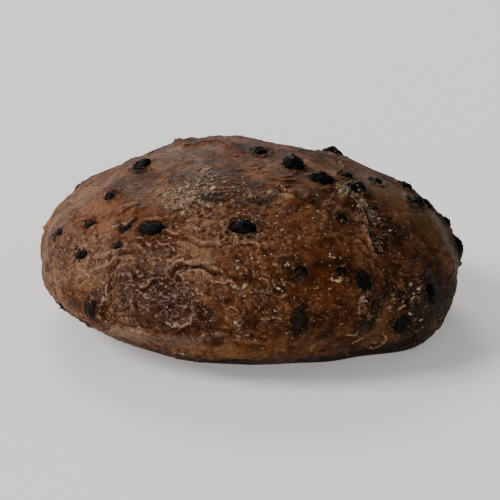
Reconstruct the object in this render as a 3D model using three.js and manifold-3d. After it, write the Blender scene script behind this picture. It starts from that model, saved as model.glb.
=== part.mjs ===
// A country loaf with raisins: a low round loaf, baked on a flat hearth, with raisins that show in its crust.
// The loaf is one solid. Its crust bears folds, a burst along the front and lumps over sunk raisins.
// Each raisin that shows is a solid of its own, which sits in a socket of the crust.
//
// Millimetres and degrees. +Z is up, and the flat base lies on Z = 0. The front of the loaf looks along -Y.
// A place on the crust is a turn and a rise, both seen from the loaf's centre point: turn 0 is the front,
// turn 90 the right-hand side (+X), rise 0 is level with the centre and rise 90 is the top.

import * as THREE from "three";
import { mergeVertices } from "three/addons/utils/BufferGeometryUtils.js";
import Module from "manifold-3d";

const wasm = await Module();
wasm.setup();

// The loaf's plain form: a round dome above the centre point and a bowl below it, cut flat by the hearth.
const CENTRE = new THREE.Vector3(-0.63, 1.4, 28);
const HALF_WIDTH = 110;
const HALF_DEPTH = 103;
const CROWN_HEIGHT = 61;
const KEEL_DEPTH = 46;
const CROWN_POWER = 2;
const KEEL_POWER = 1.7;
const FOOT_ROUNDING = 8;

// How the crust is divided: an icosahedron's edges are each split this often, its points are squeezed
// towards the rim by the flattening, and the lift moves them off the base, where a flat face needs few.
const CRUST_SPLITS = 12;
const CRUST_FLATTENING = 0.58;
const CRUST_LIFT = 0.25;

// Swells and hollows of the dough, which make the loaf uneven. Spread is in degrees.
const SWELLS = [
  { turn: 58, rise: -14, spread: 15, height: 11.5 }, // foot, where the dough ran out to the right
  { turn: 40, rise: -30, spread: 14, height: 9 }, // the same foot, under the front
  { turn: 12, rise: -22, spread: 40, height: 3 }, // front foot
  { turn: 112, rise: 32, spread: 40, height: -3.6 }, // right shoulder, which falls away
  { turn: 140, rise: 46, spread: 38, height: -2 }, // back right slope
  { turn: -150, rise: 44, spread: 19, height: 2.5 }, // hump at the back
  { turn: -115, rise: 34, spread: 14, height: -1.8 }, // saddle beside the hump
  { turn: -84, rise: -4, spread: 9, height: -4.2 }, // tuck on the left
  { turn: 90, rise: 4, spread: 9, height: 2.7 }, // right cheek
  { turn: 157, rise: 47, spread: 13, height: -1.5 }, // dip in the back's upper edge
  { turn: 121, rise: 34, spread: 8, height: -2.2 }, // dip in front of the large raisin on the shoulder
  { turn: -102, rise: 23, spread: 9, height: -2 }, // flat place on the left flank
  { turn: -131, rise: 38, spread: 6, height: -2 }, // notch below the hump
];

// Low waves that run through the whole crust, each towards its own place. Start is in radians.
const WAVES = [
  { turn: 15, rise: 10, length: 47, height: 0.8, start: 0.3 },
  { turn: 75, rise: 35, length: 38, height: 0.7, start: 4 },
  { turn: 130, rise: -5, length: 31, height: 0.55, start: 4.6 },
  { turn: 40, rise: 70, length: 54, height: 0.9, start: 1.1 },
];

// Folds of torn and wrinkled skin. Each is a round bead laid along a route of [turn, rise] places.
const FOLD_SIDES = 6;
const FOLD_STEP = 5;
const FOLD_END_DIP = 3;
const FOLDS = [
  { radius: 1.7, route: [[-24, 11], [-22, 16], [-17, 17], [-12, 17], [-6, 15], [0, 14], [6, 12]] },
  { radius: 1.9, route: [[-13, 7], [-13.5, 4], [-17, 0.5], [-21, 1.5]] },
  { radius: 1.3, route: [[-29, 9], [-26, 11], [-22, 11]] },
  { radius: 1.5, route: [[-53, 8], [-46, 13], [-42, 15], [-37, 17]] },
  { radius: 1.3, route: [[-49, 8], [-43, 11], [-39, 14]] },
  { radius: 1.5, route: [[-37, 8], [-37, 3], [-40, -4]] },
  { radius: 2.2, route: [[-45, -7], [-37, -3.5], [-30, -2.5], [-24, -3], [-17, -3]] },
  { radius: 1.2, route: [[-14, 22.5], [-7.5, 22.5], [-2, 22], [4, 22]] },
  { radius: 1.8, route: [[45, 40], [47, 34], [46, 29], [43, 24], [39, 18], [37, 12], [38, 4]] },
  { radius: 1.6, route: [[84, -3], [96, 1], [108, 0], [119, 4]] },
  { radius: 1.8, route: [[128, 22], [141, 18], [155, 20], [168, 15]] },
  { radius: 2, route: [[150, -6], [166, -3], [182, -5], [197, -2]] },
  { radius: 1.4, route: [[188, 27], [199, 24], [211, 26]] },
  { radius: 1.7, route: [[214, 9], [228, 6], [240, 10], [251, 8]] },
];

// Bulges of bare dough or covered raisins, each a flat round swelling let into the crust.
const BULGES = [
  { turn: -6, rise: -8, length: 52, width: 15, proud: 2.4, lean: 2 }, // the burst along the front foot
  { turn: 11, rise: 17, length: 11, width: 10, proud: 1.6, lean: 0 },
  { turn: 24, rise: 17, length: 9, width: 8, proud: 1.4, lean: 20 },
  { turn: 22, rise: 39, length: 15, width: 8, proud: 1.3, lean: -25 },
  { turn: -48, rise: 29, length: 17, width: 8, proud: 1.2, lean: 25 },
  { turn: 160, rise: 33, length: 13, width: 10, proud: 1.5, lean: 30 },
  { turn: 232, rise: 26, length: 12, width: 9, proud: 1.4, lean: -15 },
];

// Raisins on the front, the crown and both flanks. Length and width lie in the crust, lean is the turn of
// the length from level, and proud is how far the raisin stands out of the crust.
const FRONT_RAISINS = [
  { turn: -77, rise: 44, length: 11, width: 9, lean: -15, proud: 3 },
  { turn: -64, rise: 30, length: 7.5, width: 6.5, lean: 0, proud: 2 },
  { turn: -61, rise: 20, length: 8.5, width: 7.5, lean: 50, proud: 1.5 },
  { turn: -69, rise: 14.5, length: 6, width: 5, lean: 0, proud: 1 },
  { turn: -54, rise: 12.5, length: 8, width: 6.5, lean: 20, proud: 1.6 },
  { turn: -33, rise: 25, length: 15.5, width: 8.5, lean: 14, proud: 2.2 },
  { turn: -43, rise: 23, length: 7.5, width: 5.5, lean: 25, proud: 1 },
  { turn: -42, rise: 17.7, length: 6.5, width: 5.5, lean: 10, proud: 1.4 },
  { turn: -1.7, rise: 28.3, length: 15, width: 9, lean: 0, proud: 2.8 },
  { turn: 38, rise: 80, length: 12, width: 9, lean: 40, proud: 1.6 },
  { turn: 40, rise: 58.5, length: 13, width: 11, lean: 30, proud: 5 },
  { turn: 44.5, rise: 45.5, length: 14, width: 9.5, lean: -20, proud: 3.2 },
  { turn: 62, rise: 43.5, length: 8.5, width: 7, lean: -30, proud: 3 },
  { turn: 56, rise: 37, length: 11, width: 8, lean: -15, proud: 3 },
  { turn: 129, rise: 38, length: 14, width: 11, lean: 0, proud: 5 },
  { turn: 78, rise: 34.5, length: 9, width: 8, lean: -20, proud: 2 },
  { turn: 96, rise: 24, length: 9, width: 8, lean: 0, proud: 3.2 },
  { turn: 77, rise: 23, length: 14, width: 9, lean: -35, proud: 3.2 },
  { turn: 88, rise: 18.5, length: 9.5, width: 8, lean: 0, proud: 3 },
  { turn: 89, rise: 11.5, length: 8, width: 7, lean: 0, proud: 2.6 },
  { turn: 85, rise: 4.5, length: 13.5, width: 9, lean: 85, proud: 2.6 },
  { turn: 36.5, rise: 28.5, length: 7, width: 6, lean: 0, proud: 1.2 },
  { turn: 14.5, rise: 14.5, length: 8, width: 6, lean: -20, proud: 1 },
  { turn: 26, rise: 13.5, length: 7, width: 5.5, lean: 10, proud: 1 },
  { turn: 32, rise: 10, length: 10, width: 9, lean: -50, proud: 2 },
  { turn: 33.5, rise: 3.5, length: 9.5, width: 5.5, lean: 80, proud: 1.2 },
  { turn: 54, rise: 2, length: 11, width: 9, lean: 70, proud: 2 },
  { turn: 43, rise: -3, length: 14, width: 9.5, lean: 5, proud: 2 },
  { turn: 30.5, rise: -1.8, length: 9.5, width: 7.5, lean: 15, proud: 1.2 },
  { turn: 12.8, rise: 2.3, length: 11, width: 6.5, lean: 84, proud: 1.6 },
  { turn: -10.8, rise: 4.2, length: 8, width: 7, lean: 0, proud: 1 },
  { turn: -43, rise: 0.5, length: 9, width: 6, lean: 75, proud: 1.8 },
  { turn: -48.5, rise: -5, length: 7, width: 6, lean: 0, proud: 1.6 },
  { turn: -61, rise: -4.5, length: 9, width: 8, lean: 30, proud: 2.8 },
];
const RAISIN_THICKNESS = 0.78; // a raisin's thickness as a share of its width
const RAISIN_GAP = 0.35; // clear space between a raisin and its socket
const SMALL_RAISIN = 9; // a raisin no longer than this has fewer facets

// Raisins on the back are scattered by a rule: places a golden angle apart, shaken a little.
const BACK_RAISINS = {
  count: 20,
  seed: 11,
  turnFrom: 102,
  turnTo: 262,
  lowestRise: -6,
  highestRise: 50,
  riseLostAtSides: 34, // the highest rise falls by this towards both sides
  apart: 17, // least distance between two raisins' middles
  shortest: 6.5,
  longest: 14,
};
const GOLDEN_ANGLE = 137.508;

const crustMaterial = new THREE.MeshStandardMaterial({
  color: "#6b4229",
  roughness: 0.82,
  metalness: 0,
});
const raisinMaterial = new THREE.MeshStandardMaterial({
  color: "#17120f",
  roughness: 0.5,
  metalness: 0,
});

const radians = THREE.MathUtils.degToRad;

// A repeatable random number from 0 to 1, which each call moves on.
function randomFrom(seed) {
  let state = seed;
  return () => {
    state = (state * 1664525 + 1013904223) % 4294967296;
    return state / 4294967296;
  };
}

function direction(turn, rise) {
  const level = Math.cos(radians(rise));
  return new THREE.Vector3(
    level * Math.sin(radians(turn)),
    -level * Math.cos(radians(turn)),
    Math.sin(radians(rise)),
  );
}

function withDirection(shape) {
  return { ...shape, towards: direction(shape.turn, shape.rise) };
}

const swells = SWELLS.map(withDirection);
const waves = WAVES.map(withDirection);

// The lesser of two lengths, blended over the rounding so that they meet in a soft corner.
function softLeast(a, b, rounding) {
  const near = Math.max(rounding - Math.abs(a - b), 0) / rounding;
  return Math.min(a, b) - (near * near * rounding) / 4;
}

// How far the crust lies from the centre point in a unit direction.
function crustRadius(towards) {
  const level = Math.hypot(towards.x / HALF_WIDTH, towards.y / HALF_DEPTH);
  const above = towards.z > 0;
  const height = above ? CROWN_HEIGHT : KEEL_DEPTH;
  const power = above ? CROWN_POWER : KEEL_POWER;
  const sum = level ** power + (Math.abs(towards.z) / height) ** power;
  const plainRadius = sum ** (-1 / power);
  let radius = plainRadius;
  for (const wave of waves) {
    const along = plainRadius * towards.dot(wave.towards);
    radius += wave.height * Math.sin((2 * Math.PI * along) / wave.length + wave.start);
  }
  for (const swell of swells) {
    const away = THREE.MathUtils.radToDeg(towards.angleTo(swell.towards)) / swell.spread;
    radius += swell.height * Math.exp(-away * away);
  }
  return above ? radius : softLeast(radius, CENTRE.z / Math.max(-towards.z, 1e-6), FOOT_ROUNDING);
}

function crustPoint(turn, rise, out = 0) {
  const towards = direction(turn, rise);
  return towards.clone().multiplyScalar(crustRadius(towards) + out).add(CENTRE);
}

// A frame on the crust: across runs level, along runs up the crust, and out is its normal.
function crustFrame(turn, rise) {
  const step = 1;
  const place = crustPoint(turn, rise);
  const across = crustPoint(turn + step, rise).sub(crustPoint(turn - step, rise)).normalize();
  const up = crustPoint(turn, rise + step).sub(crustPoint(turn, rise - step)).normalize();
  const out = across.clone().cross(up).normalize();
  const along = out.clone().cross(across).normalize();
  return { place, across, along, out };
}

// A three.js geometry as a manifold solid, its shared points merged.
function solidOf(geometry) {
  const bare = geometry.clone();
  bare.deleteAttribute("normal");
  bare.deleteAttribute("uv");
  const merged = mergeVertices(bare, 1e-3);
  return new wasm.Manifold(
    new wasm.Mesh({
      numProp: 3,
      vertProperties: merged.attributes.position.array,
      triVerts: new Uint32Array(merged.index.array),
    }),
  );
}

function geometryOf(solid) {
  const made = solid.getMesh();
  return new THREE.BufferGeometry()
    .setAttribute("position", new THREE.BufferAttribute(made.vertProperties, made.numProp))
    .setIndex(new THREE.BufferAttribute(made.triVerts, 1))
    .toNonIndexed();
}

// The plain loaf: a sphere of even triangles, each point moved out or in to the crust.
function plainLoaf() {
  const geometry = new THREE.IcosahedronGeometry(1, CRUST_SPLITS);
  const points = geometry.attributes.position;
  const towards = new THREE.Vector3();
  for (let i = 0; i < points.count; i++) {
    towards.fromBufferAttribute(points, i);
    towards.z = CRUST_FLATTENING * (towards.z + CRUST_LIFT * (1 - towards.z ** 2));
    towards.normalize();
    towards.multiplyScalar(crustRadius(towards)).add(CENTRE);
    points.setXYZ(i, towards.x, towards.y, towards.z);
  }
  return solidOf(geometry);
}

// A bead of skin along the crust, which dips into the dough at both ends.
function fold({ radius, route }) {
  const last = route.length - 1;
  const places = route.map(([turn, rise], i) =>
    crustPoint(turn, rise, i === 0 || i === last ? -FOLD_END_DIP : 0.1 * radius),
  );
  const path = new THREE.CatmullRomCurve3(places);
  const section = new THREE.Shape();
  for (let side = 0; side < FOLD_SIDES; side++) {
    const angle = (2 * Math.PI * side) / FOLD_SIDES;
    const put = side === 0 ? "moveTo" : "lineTo";
    section[put](radius * Math.cos(angle), radius * Math.sin(angle));
  }
  section.closePath();
  const steps = Math.ceil(path.getLength() / FOLD_STEP);
  return solidOf(new THREE.ExtrudeGeometry(section, { steps, bevelEnabled: false, extrudePath: path }));
}

// A matrix that sets a piece down on the crust: its X along the lean, its Z out of the crust.
function settingOf({ turn, rise, lean }, depth) {
  const { place, across, along, out } = crustFrame(turn, rise);
  const length = across.clone().multiplyScalar(Math.cos(radians(lean)));
  length.addScaledVector(along, Math.sin(radians(lean)));
  const width = out.clone().cross(length);
  return new THREE.Matrix4()
    .makeBasis(length, width, out)
    .setPosition(place.addScaledVector(out, -depth));
}

function bulge(size) {
  const half = new THREE.Vector3(size.length / 2, size.width / 2, 3 * size.proud);
  const geometry = new THREE.IcosahedronGeometry(1, size.length > 20 ? 2 : 1);
  geometry.scale(half.x, half.y, half.z);
  geometry.applyMatrix4(settingOf(size, half.z - size.proud));
  return solidOf(geometry);
}

// A wrinkled, rather blunt raisin about its own middle, grown by a gap for its socket.
function raisinGeometry({ length, width, wrinkle }, gap = 0) {
  const small = length <= SMALL_RAISIN;
  const geometry = small ? new THREE.OctahedronGeometry(1, 1) : new THREE.IcosahedronGeometry(1, 1);
  const points = geometry.attributes.position;
  const point = new THREE.Vector3();
  const half = new THREE.Vector3(length, width, width * RAISIN_THICKNESS).divideScalar(2);
  for (let i = 0; i < points.count; i++) {
    point.fromBufferAttribute(points, i);
    const crease = Math.sin(3.1 * point.x + wrinkle) * Math.cos(4.3 * point.y - wrinkle);
    const size = 1 + 0.11 * crease + 0.05 * Math.sin(5 * point.z + 2 * wrinkle);
    points.setXYZ(
      i,
      point.x * (half.x * size + gap),
      point.y * (half.y * size + gap),
      point.z * (half.z * size + gap),
    );
  }
  return geometry;
}

// Raisins for the side away from the front, kept clear of each other and of those placed by hand.
function scatterBackRaisins(taken) {
  const rule = BACK_RAISINS;
  const random = randomFrom(rule.seed);
  const middle = (rule.turnFrom + rule.turnTo) / 2;
  const reach = (rule.turnTo - rule.turnFrom) / 2;
  const made = [];
  const placed = taken.map(({ turn, rise }) => crustPoint(turn, rise));
  for (let k = 1; made.length < rule.count && k < 4000; k++) {
    const turn = rule.turnFrom + ((k * GOLDEN_ANGLE + 9 * random()) % (rule.turnTo - rule.turnFrom));
    const side = Math.abs(turn - middle) / reach;
    const highest = rule.highestRise - rule.riseLostAtSides * side;
    const rise = THREE.MathUtils.lerp(rule.lowestRise, highest, random());
    const size = random();
    const place = crustPoint(turn, rise);
    if (placed.every((other) => other.distanceTo(place) > rule.apart)) {
      const length = THREE.MathUtils.lerp(rule.shortest, rule.longest, size);
      placed.push(place);
      made.push({
        turn,
        rise,
        length,
        width: length * THREE.MathUtils.lerp(0.85, 0.62, size),
        lean: 180 * random() - 90,
        proud: 1 + 0.2 * length * random(),
      });
    }
  }
  return made;
}

function raisinMesh(size, index) {
  const half = (size.width * RAISIN_THICKNESS) / 2;
  const mesh = new THREE.Mesh(raisinGeometry(size), raisinMaterial);
  mesh.name = `raisin_${String(index + 1).padStart(2, "0")}`;
  mesh.applyMatrix4(settingOf(size, half - size.proud));
  mesh.updateMatrix();
  return mesh;
}

const raisins = [...FRONT_RAISINS, ...scatterBackRaisins(FRONT_RAISINS)].map((size, index) => ({
  ...size,
  wrinkle: 1.7 * index,
}));
const raisinMeshes = raisins.map(raisinMesh);

const relief = [plainLoaf(), ...FOLDS.map(fold), ...BULGES.map(bulge)];
const sockets = raisins.map((size, index) =>
  solidOf(raisinGeometry(size, RAISIN_GAP).applyMatrix4(raisinMeshes[index].matrix)),
);
const crust = wasm.Manifold.union(relief).subtract(wasm.Manifold.union(sockets));

const loafMesh = new THREE.Mesh(geometryOf(crust), crustMaterial);
loafMesh.name = "loaf";

const loaf = new THREE.Group();
loaf.add(loafMesh, ...raisinMeshes);

export default loaf;
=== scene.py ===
"""Dresses a packed country loaf as a real one: wrinkled dark crust, sunken raisins and coarse flour.

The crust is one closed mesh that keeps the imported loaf's form and adds what a knife could not cut: torn
skin, lips around the raisins, pits and fine wrinkles. Each raisin is its own wrinkled piece, in the place
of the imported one. Flour, bran and crumbs are small pieces of their own, strewn over the crust.

Shapes are worked out in millimetres and turned to metres as a mesh is written. A place on the crust is a
turn and a rise in degrees, seen from the loaf's centre point: turn 0 is the front (-Y), turn 90 the
right-hand side (+X), rise 0 is level with the centre point and rise 90 is the top. Where numbers are added
to points before noise is read, they only move it to a part of the noise that nothing else uses.
"""

import itertools
import logging
import math
from dataclasses import dataclass, field
from enum import Enum

import bpy
import numpy as np
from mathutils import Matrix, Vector
from mathutils.bvhtree import BVHTree


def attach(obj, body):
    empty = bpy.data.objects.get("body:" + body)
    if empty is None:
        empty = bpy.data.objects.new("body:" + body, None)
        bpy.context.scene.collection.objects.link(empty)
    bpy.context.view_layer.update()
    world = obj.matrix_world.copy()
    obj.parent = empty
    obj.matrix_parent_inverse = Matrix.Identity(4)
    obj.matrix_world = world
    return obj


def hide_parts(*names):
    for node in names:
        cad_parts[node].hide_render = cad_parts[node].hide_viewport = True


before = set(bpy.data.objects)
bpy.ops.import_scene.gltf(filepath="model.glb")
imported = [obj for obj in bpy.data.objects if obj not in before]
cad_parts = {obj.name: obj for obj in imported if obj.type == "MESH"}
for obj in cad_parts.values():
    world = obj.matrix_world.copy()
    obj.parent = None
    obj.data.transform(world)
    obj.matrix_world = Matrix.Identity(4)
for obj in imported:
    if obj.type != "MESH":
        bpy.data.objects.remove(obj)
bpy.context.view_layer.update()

MM = 0.001
log = logging.getLogger("country_loaf")

Range = tuple[float, float]


class Look(Enum):
    """What a patch of the crust looks like, each the name of a point attribute on the crust."""

    FLOUR = "flour"
    # Soot, and also painted shade low on the right flank.
    CHAR = "char"
    GOLD = "gold"
    MAUVE = "mauve"
    RUST = "rust"
    # Flour haze, and also painted sheen and highlight on the flanks.
    HAZE = "haze"


def smooth_step(low: float, high: float, value: np.ndarray) -> np.ndarray:
    """Rises smoothly from 0 at low to 1 at high.

    Args:
        low: Where the step starts.
        high: Where the step ends.
        value: The values to turn.

    Returns:
        The share from 0 to 1 for each value.
    """
    share = np.clip((value - low) / (high - low), 0, 1)
    return share * share * (3 - 2 * share)


def hump(value: np.ndarray, middle: float, width: float | np.ndarray) -> np.ndarray:
    """Falls smoothly from 1 at the middle to a third at the width away from it, on both sides.

    Args:
        value: The values to turn.
        middle: Where the hump is highest.
        width: How far from the middle it has fallen to about a third.

    Returns:
        The share from 0 to 1 for each value.
    """
    return np.exp(-(((value - middle) / width) ** 2))


def unit(vectors: np.ndarray) -> np.ndarray:
    """Returns the vectors, each at a length of 1."""
    return vectors / np.maximum(np.linalg.norm(vectors, axis=-1, keepdims=True), 1e-9)


def direction(turn: float | np.ndarray, rise: float | np.ndarray) -> np.ndarray:
    """Returns the unit direction, or directions, of a turn and a rise in degrees."""
    turn = np.radians(turn)
    rise = np.radians(rise)
    level = np.cos(rise)
    return np.stack([level * np.sin(turn), -level * np.cos(turn), np.sin(rise) + 0 * turn], axis=-1)


def turn_and_rise(away: np.ndarray) -> tuple[np.ndarray, np.ndarray]:
    """Returns the turn and the rise, in degrees, of one or more vectors from the centre point."""
    turn = np.degrees(np.arctan2(away[..., 0], -away[..., 1]))
    rise = np.degrees(np.arcsin(away[..., 2] / np.linalg.norm(away, axis=-1)))
    return turn, rise


@dataclass(frozen=True)
class Swell:
    """A round swelling of the dough, or a hollow where its height is negative."""

    turn: float
    rise: float
    spread: float
    height: float


@dataclass(frozen=True)
class Wave:
    """A low wave through the whole crust, which runs towards a place."""

    turn: float
    rise: float
    length: float
    height: float
    start: float


@dataclass(frozen=True)
class Fold:
    """A fold of torn or wrinkled skin along a route of (turn, rise) places.

    Seen along the route from outside, the skin rises gently on the left-hand side, over the slope's width,
    and breaks off on the right-hand side, over the edge's. There the lip hangs over a groove, and the cleft
    under it is painted as shade. The rim is as pale as pale says, partly a painted highlight where light
    catches the lip, and veil says how hazy the skin behind it is.
    """

    route: tuple[tuple[float, float], ...]
    height: float = 1.2
    slope: float = 3.0
    edge: float = 0.9
    lip: float = 0.8
    groove: float = 0.7
    pale: float = 1.0
    veil: float = 0.0


def short_route(
    turn: float, rise: float, half: float, climb: float, bend: float, backwards: bool
) -> tuple[tuple[float, float], ...]:
    """Gives the route of a short fold.

    Args:
        turn: The turn of its middle.
        rise: The rise of its middle.
        half: How far it reaches to either side of the middle, in degrees of turn.
        climb: How far it climbs from the middle to its end.
        bend: How far its middle is moved up.
        backwards: Whether it runs from right to left, so that it breaks off at its upper side.

    Returns:
        The route's three places.
    """
    route = ((turn - half, rise - climb), (turn, rise + bend), (turn + half, rise + climb))
    return tuple(reversed(route)) if backwards else route


@dataclass(frozen=True)
class Bulge:
    """A flat round swelling: a burst of bare dough, or a raisin under the skin. Sizes are in millimetres."""

    turn: float
    rise: float
    length: float
    width: float
    proud: float
    lean: float


@dataclass(frozen=True)
class Crumb:
    """A crumb of dough that lies at a place of its own, from golden at shade 0 to pale grey at 1."""

    turn: float
    rise: float
    size: float
    shade: float


@dataclass(frozen=True)
class Spot:
    """An oval place on the crust that adds an amount at its middle. Length and width are in degrees."""

    turn: float
    rise: float
    length: float
    width: float
    amount: float

    def added(self, turns: np.ndarray, rises: np.ndarray) -> np.ndarray:
        """Returns what the spot adds at places on the crust."""
        sideways = (turns - self.turn + 180) % 360 - 180
        sideways = sideways * np.cos(np.radians(self.rise)) / self.length
        upwards = (rises - self.rise) / self.width
        return self.amount * np.exp(-(sideways**2) - upwards**2)


def spots(*rows: tuple[float, float, float, float, float]) -> tuple[Spot, ...]:
    """Returns a spot for each row of a turn, a rise, a length, a width and an amount."""
    return tuple(Spot(*row) for row in rows)


class DoughNoise:
    """Smooth, repeatable unevenness in space, from which every rough surface here is made."""

    SLOPES = 256  # how many slopes are drawn, and after how many bumps the noise repeats
    GAIN = 1.7  # brings the noise to about -1 to 1
    LAYER_SHIFT = 31.7  # keeps the layers of one sum apart, in millimetres
    AXIS_SHIFT = 57.3  # keeps the three directions of a shift apart, in millimetres
    NARROWING = 2.6  # the higher, the narrower the ridges

    def __init__(self, seed: int) -> None:
        """Draws the noise's slopes.

        Args:
            seed: The number that the draw starts from.
        """
        random = np.random.default_rng(seed)
        self.order = random.permutation(self.SLOPES)
        self.slopes = unit(random.normal(size=(self.SLOPES, 3)))

    def at(self, points: np.ndarray, size: float) -> np.ndarray:
        """Gives the noise at points.

        Args:
            points: The points, in millimetres.
            size: How far apart the noise's bumps are.

        Returns:
            A value from about -1 to 1 for each point.
        """
        scaled = points / size
        cell = np.floor(scaled).astype(int)
        inside = scaled - cell
        fade = inside**3 * (inside * (inside * 6 - 15) + 10)
        total = np.zeros(len(points))
        for corner in itertools.product((0, 1), repeat=3):
            drawn = 0
            for cells in ((cell + corner) % self.SLOPES).T:
                drawn = self.order[(drawn + cells) % self.SLOPES]
            weight = np.where(corner, fade, 1 - fade).prod(axis=1)
            total += weight * ((inside - corner) * self.slopes[drawn]).sum(axis=1)
        return total * self.GAIN

    def fractal(self, points: np.ndarray, size: float, layers: int) -> np.ndarray:
        """Gives the sum of several layers of noise, each half the size and height of the last.

        Args:
            points: The points, in millimetres.
            size: How far apart the largest bumps are.
            layers: How many layers there are.

        Returns:
            A value from about -1 to 1 for each point.
        """
        total = np.zeros(len(points))
        for layer in range(layers):
            share = 0.5**layer
            total += share * self.at(points + self.LAYER_SHIFT * layer, size * share)
        return total / 1.5

    def creases(self, points: np.ndarray, size: float) -> np.ndarray:
        """Gives narrow ridges that wander through smooth ground.

        Args:
            points: The points, in millimetres.
            size: How far apart the ridges are.

        Returns:
            A value from 0 on the ground to 1 on a ridge, for each point.
        """
        return np.clip(1 - self.NARROWING * np.abs(self.at(points, size)), 0, 1) ** 2

    def warped(self, points: np.ndarray, size: float, shift: float) -> np.ndarray:
        """Returns the points, each moved by up to the shift, so that what is drawn on them wanders."""
        moved = [self.at(points + self.AXIS_SHIFT * (axis + 1), size) for axis in range(3)]
        return points + shift * np.stack(moved, axis=-1)


@dataclass(frozen=True)
class LoafForm:
    """The loaf's plain form: a round dome above its centre point and a bowl below it, cut flat."""

    centre: tuple[float, float, float] = (-0.63, 1.4, 28)
    half_width: float = 110
    half_depth: float = 103
    crown_height: float = 61
    keel_depth: float = 46
    crown_power: float = 2
    keel_power: float = 1.7
    foot_rounding: float = 8
    # Swellings and hollows: the burst at the lower right, the low right shoulder and the knobbly outline.
    swells: tuple[Swell, ...] = (
        Swell(58, -14, 15, 11.5),
        Swell(40, -30, 14, 9),
        Swell(12, -22, 40, 3),
        Swell(112, 32, 40, -3.6),
        Swell(140, 46, 38, -2),
        Swell(-150, 44, 19, 2.5),
        Swell(-115, 34, 14, -1.8),
        Swell(-84, -4, 9, -4.2),
        Swell(90, 4, 9, 2.7),
        Swell(157, 47, 13, -1.5),
        Swell(121, 34, 8, -2.2),
        Swell(-102, 23, 9, -2),
        Swell(-131, 38, 6, -2),
    )
    waves: tuple[Wave, ...] = (
        Wave(15, 10, 47, 0.8, 0.3),
        Wave(75, 35, 38, 0.7, 4),
        Wave(130, -5, 31, 0.55, 4.6),
        Wave(40, 70, 54, 0.9, 1.1),
    )

    def radius(self, towards: np.ndarray) -> np.ndarray:
        """Gives how far the crust lies from the centre point.

        Args:
            towards: Unit directions, one a row.

        Returns:
            The distance in millimetres for each direction.
        """
        level = np.hypot(towards[:, 0] / self.half_width, towards[:, 1] / self.half_depth)
        above = towards[:, 2] > 0
        height = np.where(above, self.crown_height, self.keel_depth)
        power = np.where(above, self.crown_power, self.keel_power)
        plain = (level**power + (np.abs(towards[:, 2]) / height) ** power) ** (-1 / power)
        radius = plain.copy()
        for wave in self.waves:
            along = plain * (towards @ direction(wave.turn, wave.rise))
            radius += wave.height * np.sin(2 * math.pi * along / wave.length + wave.start)
        for swell in self.swells:
            cosine = np.clip(towards @ direction(swell.turn, swell.rise), -1, 1)
            radius += swell.height * hump(np.degrees(np.arccos(cosine)), 0, swell.spread)
        to_base = self.centre[2] / np.maximum(-towards[:, 2], 1e-6)
        near = np.maximum(self.foot_rounding - np.abs(radius - to_base), 0) / self.foot_rounding
        cut = np.minimum(radius, to_base) - near * near * self.foot_rounding / 4
        return np.where(above, radius, cut)

    def points(self, towards: np.ndarray) -> np.ndarray:
        """Returns the crust's points in unit directions, in millimetres."""
        return np.array(self.centre) + towards * self.radius(towards)[:, None]

    def place_of(self, points: np.ndarray) -> tuple[np.ndarray, np.ndarray]:
        """Returns the turn and the rise of one or more points."""
        return turn_and_rise(points - np.array(self.centre))

    def normals(self, towards: np.ndarray) -> np.ndarray:
        """Gives the plain crust's normals.

        Args:
            towards: Unit directions, one a row.

        Returns:
            The unit normal of the crust in each direction.
        """
        off_axis = (0.36, 0.48, 0.8)
        apart = 0.01
        across = unit(np.cross(towards, off_axis))
        along = np.cross(towards, across)
        slopes = [
            self.points(unit(towards + apart * way)) - self.points(unit(towards - apart * way))
            for way in (across, along)
        ]
        return unit(np.cross(*slopes))

    def axes_at(self, turn: float, rise: float) -> tuple[np.ndarray, np.ndarray, np.ndarray, np.ndarray]:
        """Gives a frame on the crust.

        Args:
            turn: The place's turn.
            rise: The place's rise.

        Returns:
            The place, and the unit directions that run level, up the crust and out of it.
        """
        turns = np.array([turn, turn + 1, turn - 1, turn, turn])
        rises = np.array([rise, rise, rise, rise + 1, rise - 1])
        place, right, left, over, under = self.points(direction(turns, rises))
        level = unit(right - left)
        out = unit(np.cross(level, over - under))
        return place, level, np.cross(out, level), out


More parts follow.
